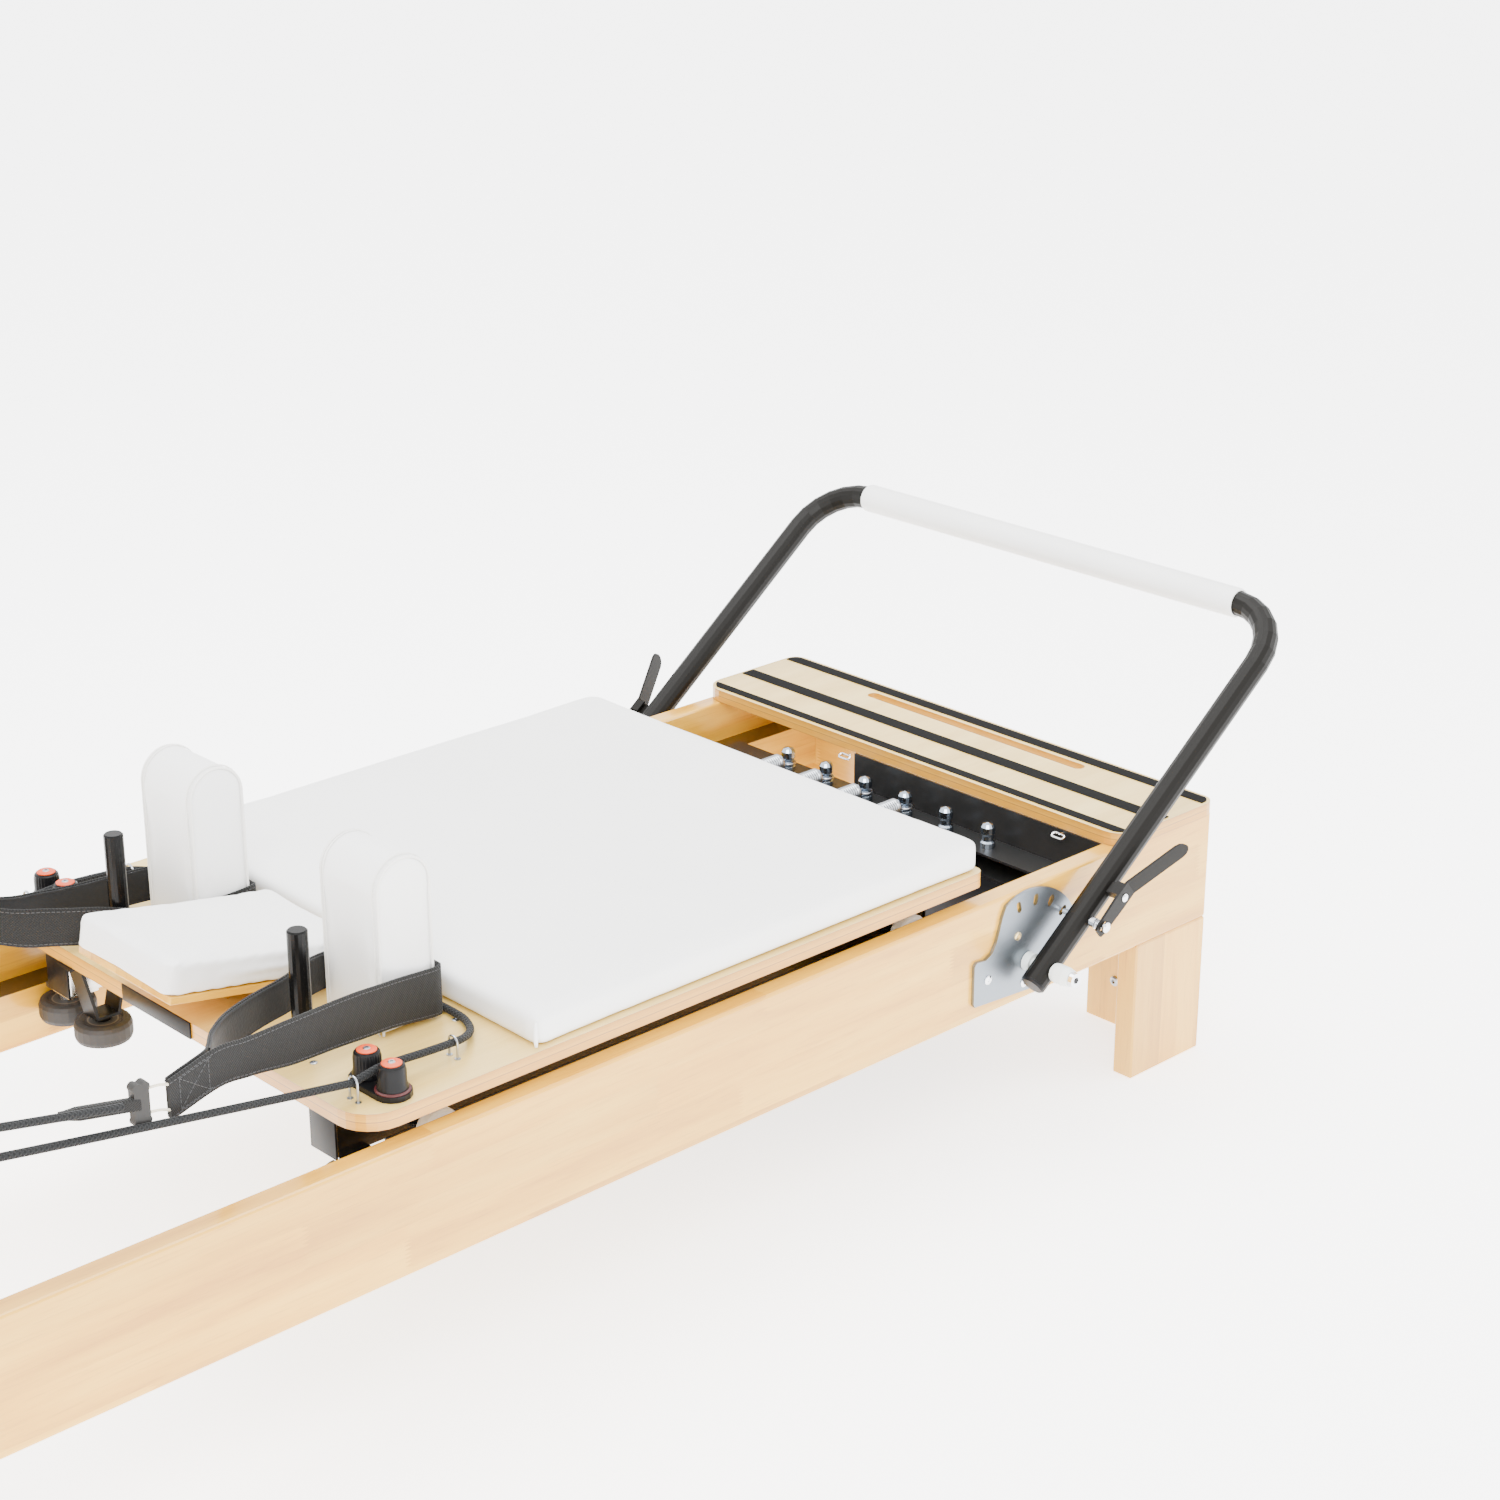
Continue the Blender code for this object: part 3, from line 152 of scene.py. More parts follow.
# ---------------------------------------------------------------- materials
class Shader:
    """Short way to build a node material."""

    def __init__(self, name, roughness=0.5, metallic=0.0, color=(0.8, 0.8, 0.8)):
        self.material = bpy.data.materials.new(name)
        self.material.use_nodes = True
        self.tree = self.material.node_tree
        self.bsdf = self.tree.nodes["Principled BSDF"]
        self.set("Roughness", roughness)
        self.set("Metallic", metallic)
        self.set("Base Color", (*color, 1))

    def set(self, name, value):
        self.bsdf.inputs[name].default_value = value

    def add(self, kind, **values):
        node = self.tree.nodes.new(kind)
        for key, value in values.items():
            setattr(node, key, value)
        return node

    def link(self, source, target):
        self.tree.links.new(source, target)

    def feed(self, source, name):
        self.link(source, self.bsdf.inputs[name])

    def fill(self, sockets, values):
        """Give each socket its number, its colour or its link."""
        for socket, value in zip(sockets, values):
            if isinstance(value, tuple):
                socket.default_value = (*value, 1)
            elif isinstance(value, (int, float)):
                socket.default_value = value
            else:
                self.link(value, socket)

    def math(self, operation, *values):
        node = self.add("ShaderNodeMath", operation=operation)
        self.fill(node.inputs, values)
        return node.outputs[0]

    def times(self, a, b):
        return self.math("MULTIPLY", a, b)

    def plus(self, a, b):
        return self.math("ADD", a, b)

    def coordinate(self, kind="Object"):
        return self.add("ShaderNodeTexCoord").outputs[kind]

    def split(self, vector):
        node = self.add("ShaderNodeSeparateXYZ")
        self.link(vector, node.inputs[0])
        return node.outputs

    def join(self, x, y, z):
        node = self.add("ShaderNodeCombineXYZ")
        self.fill(node.inputs, (x, y, z))
        return node.outputs[0]

    def noise(self, vector, scale, detail=3.0, roughness=0.5):
        node = self.add("ShaderNodeTexNoise")
        node.inputs["Scale"].default_value = scale
        node.inputs["Detail"].default_value = detail
        node.inputs["Roughness"].default_value = roughness
        self.link(vector, node.inputs["Vector"])
        return node.outputs[0]

    def ramp(self, factor, stops):
        node = self.add("ShaderNodeValToRGB")
        elements = node.color_ramp.elements
        while len(elements) < len(stops):
            elements.new(0.5)
        for element, (position, color) in zip(elements, stops):
            element.position = position
            element.color = (*color, 1)
        self.link(factor, node.inputs[0])
        return node.outputs[0]

    def mix(self, factor, a, b, blend_type="MIX"):
        node = self.add("ShaderNodeMix", data_type="RGBA", blend_type=blend_type)
        self.fill((node.inputs[0], node.inputs[6], node.inputs[7]), (factor, a, b))
        return node.outputs[2]

    def bump(self, height, strength, distance=0.001):
        node = self.add("ShaderNodeBump")
        node.inputs["Strength"].default_value = strength
        node.inputs["Distance"].default_value = distance
        self.link(height, node.inputs["Height"])
        self.feed(node.outputs[0], "Normal")


def plain(name, color, roughness, metallic=0.0):
    return Shader(name, roughness, metallic, color).material


WOOD_DARK = (0.50, 0.215, 0.006)
WOOD_MID = (0.66, 0.325, 0.014)
WOOD_PALE = (0.76, 0.425, 0.040)
FINGER_WIDTH = 0.0022
LEDGE_TOP = 0.260
RAIL_INNER = 0.3236
PLY_GLUE = (0.22, 0.10, 0.04)


def wood(name, grain, across, stave=0.046, length=0.43, seed=0.0, dark_ledge_top=False):
    """Lacquered finger-jointed staves; grain and across are the axis numbers they follow."""
    shader = Shader(name, 0.28)
    axes = shader.split(shader.coordinate())
    g, a = axes[grain], axes[across]
    t = axes[3 - grain - across]
    row = shader.math("FLOOR", shader.math("DIVIDE", shader.plus(a, seed), stave))
    row_random = shader.add("ShaderNodeTexWhiteNoise", noise_dimensions="1D")
    shader.link(row, row_random.inputs["W"])
    fingers = shader.math("PINGPONG", shader.plus(a, seed), FINGER_WIDTH)
    shifted = shader.plus(g, shader.times(fingers, 4.0))
    column = shader.plus(shader.math("DIVIDE", shifted, length),
                         shader.times(row_random.outputs["Value"], 9.7))
    cell = shader.add("ShaderNodeTexWhiteNoise", noise_dimensions="2D")
    shader.link(shader.join(row, shader.math("FLOOR", column), 0.0), cell.inputs["Vector"])
    tone = cell.outputs["Value"]
    shift = shader.times(tone, 37.0)

    def streaks(lengthwise, crosswise, detail, roughness):
        """Noise drawn out along the grain, shifted from one stave to the next."""
        return shader.noise(shader.join(shader.plus(shader.times(g, lengthwise), shift),
                                        shader.times(a, crosswise), shader.times(t, crosswise)),
                            1.0, detail, roughness)

    broad = streaks(2.6, 26.0, 5.0, 0.58)
    fine = streaks(16.0, 420.0, 3.0, 0.6)
    color = shader.ramp(broad, [(0.28, WOOD_DARK), (0.46, WOOD_MID), (0.68, WOOD_PALE)])
    shade = shader.plus(0.90, shader.times(tone, 0.16))
    color = shader.mix(1.0, color, shader.join(shade, shade, shade), "MULTIPLY")
    pores = shader.ramp(fine, [(0.30, (0.80, 0.74, 0.66)), (0.46, (1, 1, 1))])
    color = shader.mix(0.75, color, pores, "MULTIPLY")
    if dark_ledge_top:
        # the top face of the ledge inside the rails is coloured near-black
        level = shader.math("LESS_THAN", shader.math("ABSOLUTE", shader.math(
            "SUBTRACT", axes[2], LEDGE_TOP)), 0.0006)
        inside = shader.math("LESS_THAN", shader.math("ABSOLUTE", axes[1]), RAIL_INNER)
        color = shader.mix(shader.times(level, inside), color, (0.020, 0.011, 0.006))
    shader.feed(color, "Base Color")
    shader.set("Coat Weight", 0.55)
    shader.set("Coat Roughness", 0.12)
    shader.bump(fine, 0.12, 0.0002)
    return shader.material


def ply(name, thickness, bottom, edge=(0.60, 0.28, 0.020)):
    """Birch plywood: pale face with faint grain along X, layered edge."""
    shader = Shader(name, 0.36)
    x, y, z = shader.split(shader.coordinate())

    def streaks(along_x, along_y, detail, roughness=0.5, along_z=0.0):
        return shader.noise(shader.join(shader.times(x, along_x), shader.times(y, along_y),
                                        shader.times(z, along_z)), 1.0, detail, roughness)

    face = shader.ramp(streaks(3.0, 24.0, 6.0, 0.6), [
        (0.3, (0.60, 0.395, 0.095)), (0.52, (0.69, 0.48, 0.145)), (0.75, (0.76, 0.56, 0.20))])
    face = shader.mix(0.5, face, shader.ramp(streaks(25.0, 500.0, 3.0), [
        (0.3, (0.85, 0.82, 0.77)), (0.5, (1, 1, 1))]), "MULTIPLY")
    layer = shader.math("FRACT", shader.math("DIVIDE", shader.math("SUBTRACT", z, bottom),
                                             thickness))
    layers = shader.ramp(layer, [(0.0, PLY_GLUE), (0.05, edge), (0.46, edge),
                                 (0.50, (0.20, 0.09, 0.035)), (0.54, (0.64, 0.32, 0.030)),
                                 (0.96, (0.50, 0.22, 0.012)), (1.0, PLY_GLUE)])
    layers = shader.mix(0.4, layers, shader.ramp(streaks(40.0, 40.0, 3.0, 0.5, 900.0), [
        (0.35, (0.72, 0.66, 0.6)), (0.6, (1, 1, 1))]), "MULTIPLY")
    normal = shader.split(shader.coordinate("Normal"))
    flat = shader.math("GREATER_THAN", shader.math("ABSOLUTE", normal[2]), 0.7)
    shader.feed(shader.mix(flat, layers, face), "Base Color")
    shader.set("Coat Weight", 0.35)
    shader.set("Coat Roughness", 0.2)
    return shader.material


def vinyl(name, color=(0.87, 0.87, 0.86)):
    shader = Shader(name, 0.42, 0.0, color)
    position = shader.coordinate()
    cells = shader.add("ShaderNodeTexVoronoi")
    cells.inputs["Scale"].default_value = 900.0
    shader.link(position, cells.inputs["Vector"])
    soft = shader.noise(position, 9.0, 3.0)
    tint = shader.ramp(soft, [(0.3, tuple(c * 0.975 for c in color)), (0.7, color)])
    shader.feed(tint, "Base Color")
    shader.set("Specular IOR Level", 0.45)
    shader.bump(cells.outputs[0], 0.10, 0.0003)
    return shader.material


def powder(name, color=(0.0055, 0.0050, 0.0042), roughness=0.38):
    shader = Shader(name, roughness, 0.0, color)
    shader.set("Specular IOR Level", 0.13)
    shader.bump(shader.noise(shader.coordinate(), 1400.0, 2.0), 0.10, 0.0002)
    return shader.material


def metal(name, color, roughness, grain=None):
    shader = Shader(name, roughness, 1.0, color)
    if grain is not None:
        axes = shader.split(shader.coordinate())
        streaks = shader.noise(shader.join(*[shader.times(axis, 24.0 if i == grain else 720.0)
                                             for i, axis in enumerate(axes)]), 1.0, 2.0)
        shader.feed(shader.plus(roughness - 0.06, shader.times(streaks, 0.14)), "Roughness")
    return shader.material


SPRING_BAR_TOP = 0.26806


def spring_bar_material():
    """Black channel whose posts, all above its top, are zinc plated."""
    shader = Shader("spring_bar_finish", 0.30)
    x, _, z = shader.split(shader.coordinate())
    above = shader.math("GREATER_THAN", z, SPRING_BAR_TOP)
    at_posts = shader.math("LESS_THAN", x, along(0.176))
    plated = shader.times(above, at_posts)
    shader.feed(shader.mix(plated, (0.012, 0.012, 0.012), (0.36, 0.42, 0.50)), "Base Color")
    shader.feed(plated, "Metallic")
    shader.feed(shader.mix(plated, (0.34, 0.34, 0.34), (0.16, 0.16, 0.16)), "Roughness")
    return shader.material


def weave(name, color, threads, bump=0.6):
    """Woven webbing or braid, threads to the metre, on the mesh's own map in metres."""
    shader = Shader(name, 0.75, 0.0, color)
    u, v, _ = shader.split(shader.coordinate("UV"))
    waves = [shader.math("SINE", shader.times(shader.math(way, u, v), threads * math.tau))
             for way in ("ADD", "SUBTRACT")]
    height = shader.math("MAXIMUM", *waves)
    # darker in the hollows between threads and lighter on their crowns: painted shade and painted
    # highlight of the weave
    shade = shader.ramp(height, [(0.0, tuple(c * 0.55 for c in color)),
                                 (1.0, tuple(c * 1.8 for c in color))])
    shader.feed(shade, "Base Color")
    shader.set("Sheen Weight", 0.06)
    shader.set("Specular IOR Level", 0.25)
    shader.bump(height, bump, 0.0004)
    return shader.material


def velvet(name, color=(0.0050, 0.0050, 0.0055)):
    shader = Shader(name, 0.9, 0.0, color)
    shader.set("Sheen Weight", 0.12)
    shader.set("Sheen Roughness", 0.4)
    shader.bump(shader.noise(shader.coordinate(), 350.0, 3.0), 0.5, 0.0008)
    return shader.material


def wheel_material(name, node, axis, bands):
    """Rings of colour round the axis of a wheel: bands are (radius, colour)."""
    low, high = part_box(node)
    center = [(a + b) / 2 for a, b in zip(low, high)]
    shader = Shader(name, 0.6)
    axes = shader.split(shader.coordinate())
    squares = [shader.math("POWER", shader.math("ABSOLUTE", shader.math(
        "SUBTRACT", axes[i], center[i])), 2.0) for i in range(3) if i != axis]
    radius = shader.math("SQRT", shader.plus(*squares))
    color = bands[0][1]
    for limit, outer in bands[1:]:
        color = shader.mix(shader.math("GREATER_THAN", radius, limit), color, outer)
    shader.feed(color, "Base Color")
    return shader.material


BEAM_OUTER_FACE = 0.2596


def beam_material():
    """Extruded beam: clear anodised inside, with its outer face coloured black as painted shade."""
    shader = Shader("beam_finish", 0.24)
    y = shader.split(shader.coordinate())[1]
    # the black on the outer face is painted shade
    outer = shader.math("GREATER_THAN", shader.math("ABSOLUTE", y), BEAM_OUTER_FACE)
    shader.feed(shader.mix(outer, (0.74, 0.72, 0.69), (0.006, 0.006, 0.006)), "Base Color")
    shader.feed(shader.math("SUBTRACT", 1.0, outer), "Metallic")
    return shader.material


MATERIALS = {}


def make_materials():
    made = MATERIALS
    made["wood_x"] = wood("wood_along_x", 0, 2, dark_ledge_top=True)
    made["wood_x_flat"] = wood("wood_flat_along_x", 0, 1, seed=0.4)
    made["wood_y"] = wood("wood_along_y", 1, 2, seed=0.17)
    made["wood_z_side"] = wood("wood_upright_side", 2, 0, stave=0.064, length=0.6, seed=0.31)
    made["platform_ply"] = ply("platform_ply", 0.0162, 0.3127)
    made["deck_ply"] = ply("deck_ply", 0.018, 0.326)
    made["vinyl"] = vinyl("upholstery_vinyl")
    made["piping"] = vinyl("piping_vinyl", (0.84, 0.83, 0.80))
    made["powder"] = powder("black_powder_coat")
    made["gloss_black"] = powder("black_gloss", (0.004, 0.004, 0.004), 0.20)
    made["plate"] = metal("stainless_plate", (0.21, 0.235, 0.265), 0.34, grain=0)
    made["chrome"] = metal("chrome_plating", (0.78, 0.80, 0.83), 0.14)
    made["zinc"] = metal("zinc_wire", (0.42, 0.44, 0.47), 0.28)
    made["brass"] = metal("brass_screw", (0.80, 0.62, 0.32), 0.28)
    made["beam"] = beam_material()
    made["nylon"] = plain("white_nylon", (0.74, 0.78, 0.76), 0.35)
    made["rubber"] = plain("dark_rubber", (0.010, 0.009, 0.008), 0.65)
    made["grip_tape"] = powder("grip_tape", (0.005, 0.005, 0.005), 0.95)
    made["plastic"] = powder("black_plastic", (0.0065, 0.0065, 0.0070), 0.32)
    made["orange"] = plain("orange_plastic", (0.60, 0.055, 0.0), 0.5)
    made["dark_red"] = plain("dark_red_plastic", (0.06, 0.006, 0.006), 0.5)
    made["spring_bar"] = spring_bar_material()
    made["webbing"] = weave("strap_webbing", (0.0045, 0.0045, 0.0043), 300.0)
    made["braid"] = weave("rope_braid", (0.0045, 0.0050, 0.0055), 190.0, 1.0)
    made["velvet"] = velvet("strap_lining")
    made["thread"] = plain("black_thread", (0.035, 0.035, 0.037), 0.6)
    made["white_thread"] = plain("white_thread", (0.78, 0.77, 0.74), 0.6)
    made["cord"] = plain("cream_cord", (0.62, 0.56, 0.44), 0.8)


CAD_FINISH = {
    "wood_x": ("rail",),
    "wood_x_flat": ("headrest_board", "headrest_prop"),
    "wood_y": ("foot_board", "head_board"),
    "wood_z_side": ("foot_leg", "head_leg"),
    "platform_ply": ("foot_platform",),
    "deck_ply": ("carriage_deck",),
    "powder": ("footbar_tube", "riser", "lever", "spring_anchor", "inboard_wheel_bracket"),
    "gloss_black": ("strap_post",),
    "plate": ("gear_plate",),
    "chrome": ("pivot_bolt", "lock_pin"),
    "beam": ("beam",),
    "nylon": ("pivot_bush",),
    "plastic": ("pulley", "cleat_base"),
    "spring_bar": ("spring_bar",),
}


def finish_cad_nodes():
    """Give each CAD node that stays showing its material; both sides share one."""
    for name, node in nodes.items():
        part = name.removeprefix("near_").removeprefix("far_")
        for key, parts in CAD_FINISH.items():
            if part in parts:
                set_material(node, MATERIALS[key])
    for name in nodes:
        if name.endswith("running_wheel"):
            set_material(nodes[name], wheel_material(f"{name}_finish", name, 1, [
                (0.0, (0.05, 0.05, 0.05)), (0.0100, (0.72, 0.70, 0.64)),
                (0.0165, (0.82, 0.81, 0.77))]))
        elif name.endswith("guide_wheel") or name == "inboard_wheel":
            set_material(nodes[name], wheel_material(f"{name}_finish", name, 2, [
                (0.0, (0.03, 0.028, 0.025)), (0.0150, (0.10, 0.075, 0.050)),
                (0.0168, (0.016, 0.012, 0.010)), (0.0220, (0.012, 0.0095, 0.0080))]))


def set_material(obj, material):
    obj.data.materials.clear()
    obj.data.materials.append(material)


# ---------------------------------------------------------------- mesh helpers
def add_piece(name, bm, material, body, smooth=40, parent_nodes=(), rides=True):
    """Turn a bmesh, in world coordinates, into a piece that rides on a body."""
    bmesh.ops.recalc_face_normals(bm, faces=bm.faces)
    mesh = bpy.data.meshes.new(name)
    bm.to_mesh(mesh)
    bm.free()
    mesh.materials.append(MATERIALS[material])
    if smooth:
        mesh.shade_smooth()
        mesh.set_sharp_from_angle(angle=math.radians(smooth))
    obj = bpy.data.objects.new(name, mesh)
    bpy.context.collection.objects.link(obj)
    if rides:
        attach(obj, body)
    if parent_nodes:
        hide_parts(*parent_nodes)
    return obj


def fill_box(bm, low, high):
    center = [(a + b) / 2 for a, b in zip(low, high)]
    size = [abs(b - a) for a, b in zip(low, high)]
    place = Matrix.Translation(center) @ Matrix.Diagonal((*size, 1.0))
    bmesh.ops.create_cube(bm, size=1.0, matrix=place)


def box_piece(name, low, high, width, material, body):
    """Block between two corners, given in any order, with its edges rounded by width."""
    bm = bmesh.new()
    fill_box(bm, low, high)
    if width:
        bevel_edges(bm, width, 2)
    add_piece(name, bm, material, body)


def bevel_edges(bm, width, segments=2, angle=50):
    edges = [e for e in bm.edges if len(e.link_faces) == 2
             and e.calc_face_angle() > math.radians(angle)]
    bmesh.ops.bevel(bm, geom=edges, offset=width, segments=segments, affect="EDGES",
                    profile=0.5)


def fill_turned(bm, profile, origin, axis, sides=24):
    """Turn (radius, height) points about the axis direction through origin."""
    axis = Vector(axis).normalized()
    first = axis.orthogonal().normalized()
    second = axis.cross(first)
    rings = []
    for radius, height in profile:
        middle = Vector(origin) + axis * height
        if radius < 1e-9:
            rings.append([bm.verts.new(middle)])
        else:
            rings.append([bm.verts.new(middle + radius * (math.cos(math.tau * i / sides) * first
                                                          + math.sin(math.tau * i / sides) * second))
                          for i in range(sides)])
    for low, high in zip(rings, rings[1:]):
        for i in range(sides):
            j = (i + 1) % sides
            face = []
            for vert in (low[i % len(low)], low[j % len(low)], high[j % len(high)],
                         high[i % len(high)]):
                if vert not in face:
                    face.append(vert)
            if len(face) > 2:
                bm.faces.new(face)


def turned_piece(name, profile, origin, axis, sides, material, body):
    bm = bmesh.new()
    fill_turned(bm, profile, origin, axis, sides)
    add_piece(name, bm, material, body)


def fill_tube(bm, points, radius, sides=8, closed=False, map_uv=False):
    """Tube along points, with an optional map in metres for a braid."""
    points = [Vector(p) for p in points]
    count = len(points)
    tangents = []
    for i in range(count):
        if closed:
            tangent = points[(i + 1) % count] - points[i - 1]
        else:
            tangent = points[min(i + 1, count - 1)] - points[max(i - 1, 0)]
        tangents.append(tangent.normalized())
    normal = tangents[0].orthogonal().normalized()
    rings = []
    for i, (point, tangent) in enumerate(zip(points, tangents)):
        normal = (normal - tangent * normal.dot(tangent)).normalized()
        side = tangent.cross(normal)
        r = radius[i] if isinstance(radius, (list, tuple)) else radius
        rings.append([bm.verts.new(point + r * (math.cos(math.tau * k / sides) * normal
                                                + math.sin(math.tau * k / sides) * side))
                      for k in range(sides)])
    layer = bm.loops.layers.uv.verify() if map_uv else None
    girth = math.tau * 0.0042
    run = 0.0
    for i in range(count if closed else count - 1):
        j = (i + 1) % count
        step = (points[j] - points[i]).length
        for k in range(sides):
            m = (k + 1) % sides
            face = bm.faces.new((rings[i][k], rings[i][m], rings[j][m], rings[j][k]))
            if map_uv:
                values = ((run, k / sides), (run, (k + 1) / sides),
                          (run + step, (k + 1) / sides), (run + step, k / sides))
                for loop, (u, v) in zip(face.loops, values):
                    loop[layer].uv = (u, v * girth)
        run += step
    if not closed:
        bm.faces.new(rings[0])
        bm.faces.new(rings[-1])


def smooth_path(points, spacing):
    """Points about this far apart on a smooth curve through the given ones."""
    points = [Vector(p) for p in points]
    padded = [2 * points[0] - points[1], *points, 2 * points[-1] - points[-2]]
    result = [points[0]]
    for i in range(1, len(padded) - 2):
        p0, p1, p2, p3 = padded[i - 1:i + 3]
        steps = max(1, round((p2 - p1).length / spacing))
        for k in range(1, steps + 1):
            t = k / steps
            result.append(0.5 * (2 * p1 + (p2 - p0) * t + (2 * p0 - 5 * p1 + 4 * p2 - p3) * t ** 2
                                 + (3 * p1 - p0 - 3 * p2 + p3) * t ** 3))
    return result


def arc(center, radius, start, end, steps):
    return [(center[0] + radius * math.cos(math.radians(start + (end - start) * i / steps)),
             center[1] + radius * math.sin(math.radians(start + (end - start) * i / steps)))
            for i in range(steps + 1)]


def rounded_rect(low, high, radii, steps=6):
    """Outline counter-clockwise from its low corner, with one radius for each corner."""
    (x0, y0), (x1, y1) = low, high
    corners = (((x0, y0), 1, 1, 180), ((x1, y0), -1, 1, 270), ((x1, y1), -1, -1, 0),
               ((x0, y1), 1, -1, 90))
    outline = []
    for (corner, sx, sy, start), radius in zip(corners, radii):
        outline += arc((corner[0] + sx * radius, corner[1] + sy * radius), radius, start,
                       start + 90, steps)
    return outline


def lying(a, b, c):
    return Vector((a, b, c))


def upright(a, b, c):
    return Vector((a, c, b))


def fill_prism(bm, outline, low, high, place=lying):
    """Extrude an outline; place(a, b, c) gives the world point."""
    lower = [bm.verts.new(place(a, b, low)) for a, b in outline]
    upper = [bm.verts.new(place(a, b, high)) for a, b in outline]
    bm.faces.new(lower)
    bm.faces.new(upper)
    for i in range(len(outline)):
        j = (i + 1) % len(outline)
        bm.faces.new((lower[i], lower[j], upper[j], upper[i]))


def stitches(bm, points, pitch=0.0052, length=0.0036, radius=0.00045):
    """Row of thread dashes along points."""
    run = 0.0
    for a, b in zip(points, points[1:]):
        a, b = Vector(a), Vector(b)
        step = (b - a).length
        if step < 1e-6:
            continue
        direction = (b - a) / step
        while run < step:
            start = a + direction * run
            fill_tube(bm, [start, start + direction * length], radius, 5)
            run += pitch
        run -= step


# ---------------------------------------------------------------- upholstery
CLOTH_FRAMES = 20


def cushion(name, bm, body, replaced, cap, keep, voxel=0.006):
    """Remesh a block, inflate it as cloth under a cap, and smooth it once."""
    bmesh.ops.recalc_face_normals(bm, faces=bm.faces)
    mesh = bpy.data.meshes.new(name)
    bm.to_mesh(mesh)
    bm.free()
    obj = bpy.data.objects.new(name, mesh)
    bpy.context.collection.objects.link(obj)
    mesh.materials.append(MATERIALS["vinyl"])
    bpy.context.view_layer.objects.active = obj
    remesh = obj.modifiers.new("remesh", "REMESH")
    remesh.mode = "VOXEL"
    remesh.voxel_size = voxel
    apply_modifiers(obj)
    rest = [v.co.copy() for v in obj.data.vertices]
    cloth = obj.modifiers.new("cloth", "CLOTH")
    settings = cloth.settings
    settings.use_pressure = True
    settings.uniform_pressure_force = 4.0
    settings.effector_weights.gravity = 0
    settings.quality = 5
    settings.mass = 0.3
    settings.tension_stiffness = 25
    settings.compression_stiffness = 25
    settings.shear_stiffness = 15
    settings.bending_stiffness = 0.6
    cloth.point_cache.frame_start = 1
    cloth.point_cache.frame_end = CLOTH_FRAMES
    scene = bpy.context.scene
    for number in range(1, CLOTH_FRAMES + 1):
        scene.frame_set(number)
    apply_modifiers(obj)
    scene.frame_set(1)
    for vert, start in zip(obj.data.vertices, rest):
        move = vert.co - start
        if move.length > cap:
            vert.co = start + move * (cap / move.length)
        vert.co = keep(start, vert.co.copy())
    obj.data.shade_smooth()
    subdivision = obj.modifiers.new("smooth", "SUBSURF")
    subdivision.levels = 1
    subdivision.render_levels = 1
    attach(obj, body)
    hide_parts(*replaced)


def apply_modifiers(obj):
    """Keep the shape the modifiers give, and drop them."""
    graph = bpy.context.evaluated_depsgraph_get()
    mesh = bpy.data.meshes.new_from_object(obj.evaluated_get(graph), depsgraph=graph)
    obj.modifiers.clear()
    old = obj.data
    obj.data = mesh
    bpy.data.meshes.remove(old)


def make_carriage_cushion():
    low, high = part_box("carriage_pad")
    bottom = low[2]
    inset = 0.0010
    outline = rounded_rect((low[0] + inset, low[1] + inset), (high[0] + 0.003, high[1] - inset),
                           (0.012, 0.014, 0.014, 0.012), 3)
    bm = bmesh.new()
    fill_prism(bm, outline, bottom + 0.001, high[2] - 0.0035)
    bevel_edges(bm, 0.008, 3)

    middle_x, middle_y = (low[0] + high[0]) / 2, (low[1] + high[1]) / 2
    half_x, half_y = (high[0] - low[0]) / 2, (high[1] - low[1]) / 2

    def keep(start, point):
        """Flat where it rests on the deck, a low crown and faint tension ripples on top."""
        u = (start.x - middle_x) / half_x
        v = (start.y - middle_y) / half_y
        if start.z < bottom + 0.004:
            point.z = max(point.z, bottom + 0.0002)
        elif start.z > high[2] - 0.008:
            crown = (1 - u ** 4) * (1 - v ** 4)
            ripple = noise.noise(Vector((start.x * 9, start.y * 5, 3.1))) * 0.0006
            point.z = min(point.z, start.z + 0.0035) + 0.0035 * crown + ripple
        corner = max(0.0, abs(u) + abs(v) - 1.90) / 0.10
        if corner > 0 and u < 0:
            pleat = math.sin(math.atan2(start.y, start.x - middle_x) * 260.0)
            point += Vector((-1, math.copysign(1, v), 0)) * 0.0006 * corner * pleat
        point.x = min(max(point.x, low[0] - 0.0006), high[0] + 0.005)
        point.y = min(max(point.y, low[1] - 0.002), high[1] + 0.002)
        return point

    cushion("carriage_cushion", bm, "carriage", ["carriage_pad"], 0.005, keep=keep)

    # folded tuck of the cover at the near and far head corners
    for side_name, side in SIDES:
        bm = bmesh.new()
        corner_x, corner_y = low[0] + 0.0055, side * (high[1] - 0.0055)
        points = []
        for i in range(9):
            t = i / 8
            out = 0.0018 * math.sin(math.pi * t)
            points.append(Vector((corner_x - out, corner_y + side * out * 0.9,
                                  bottom + 0.002 + 0.026 * t)))
        fill_tube(bm, points, [0.0016 + 0.0010 * math.sin(math.pi * i / 8) for i in range(9)], 8)
        add_piece(f"{side_name}_cushion_tuck", bm, "vinyl", "carriage")


def rest_outline(inset, steps=20):
    """Arch of a shoulder rest in X and Z, this far inside its surface, from foot to head."""
    radius = (REST_HEAD - REST_FOOT) / 2 - inset
    middle = along((REST_FOOT + REST_HEAD) / 2)
    center_z = REST_TOP - (REST_HEAD - REST_FOOT) / 2
    bottom = DECK_TOP + 0.001
    side_steps = 8
    points = [(middle + radius, bottom + (center_z - bottom) * i / side_steps)
              for i in range(side_steps)]
    points += arc((middle, center_z), radius, 0, 180, steps)
    points += [(middle - radius, center_z + (bottom - center_z) * i / side_steps)
               for i in range(1, side_steps + 1)]
    return points


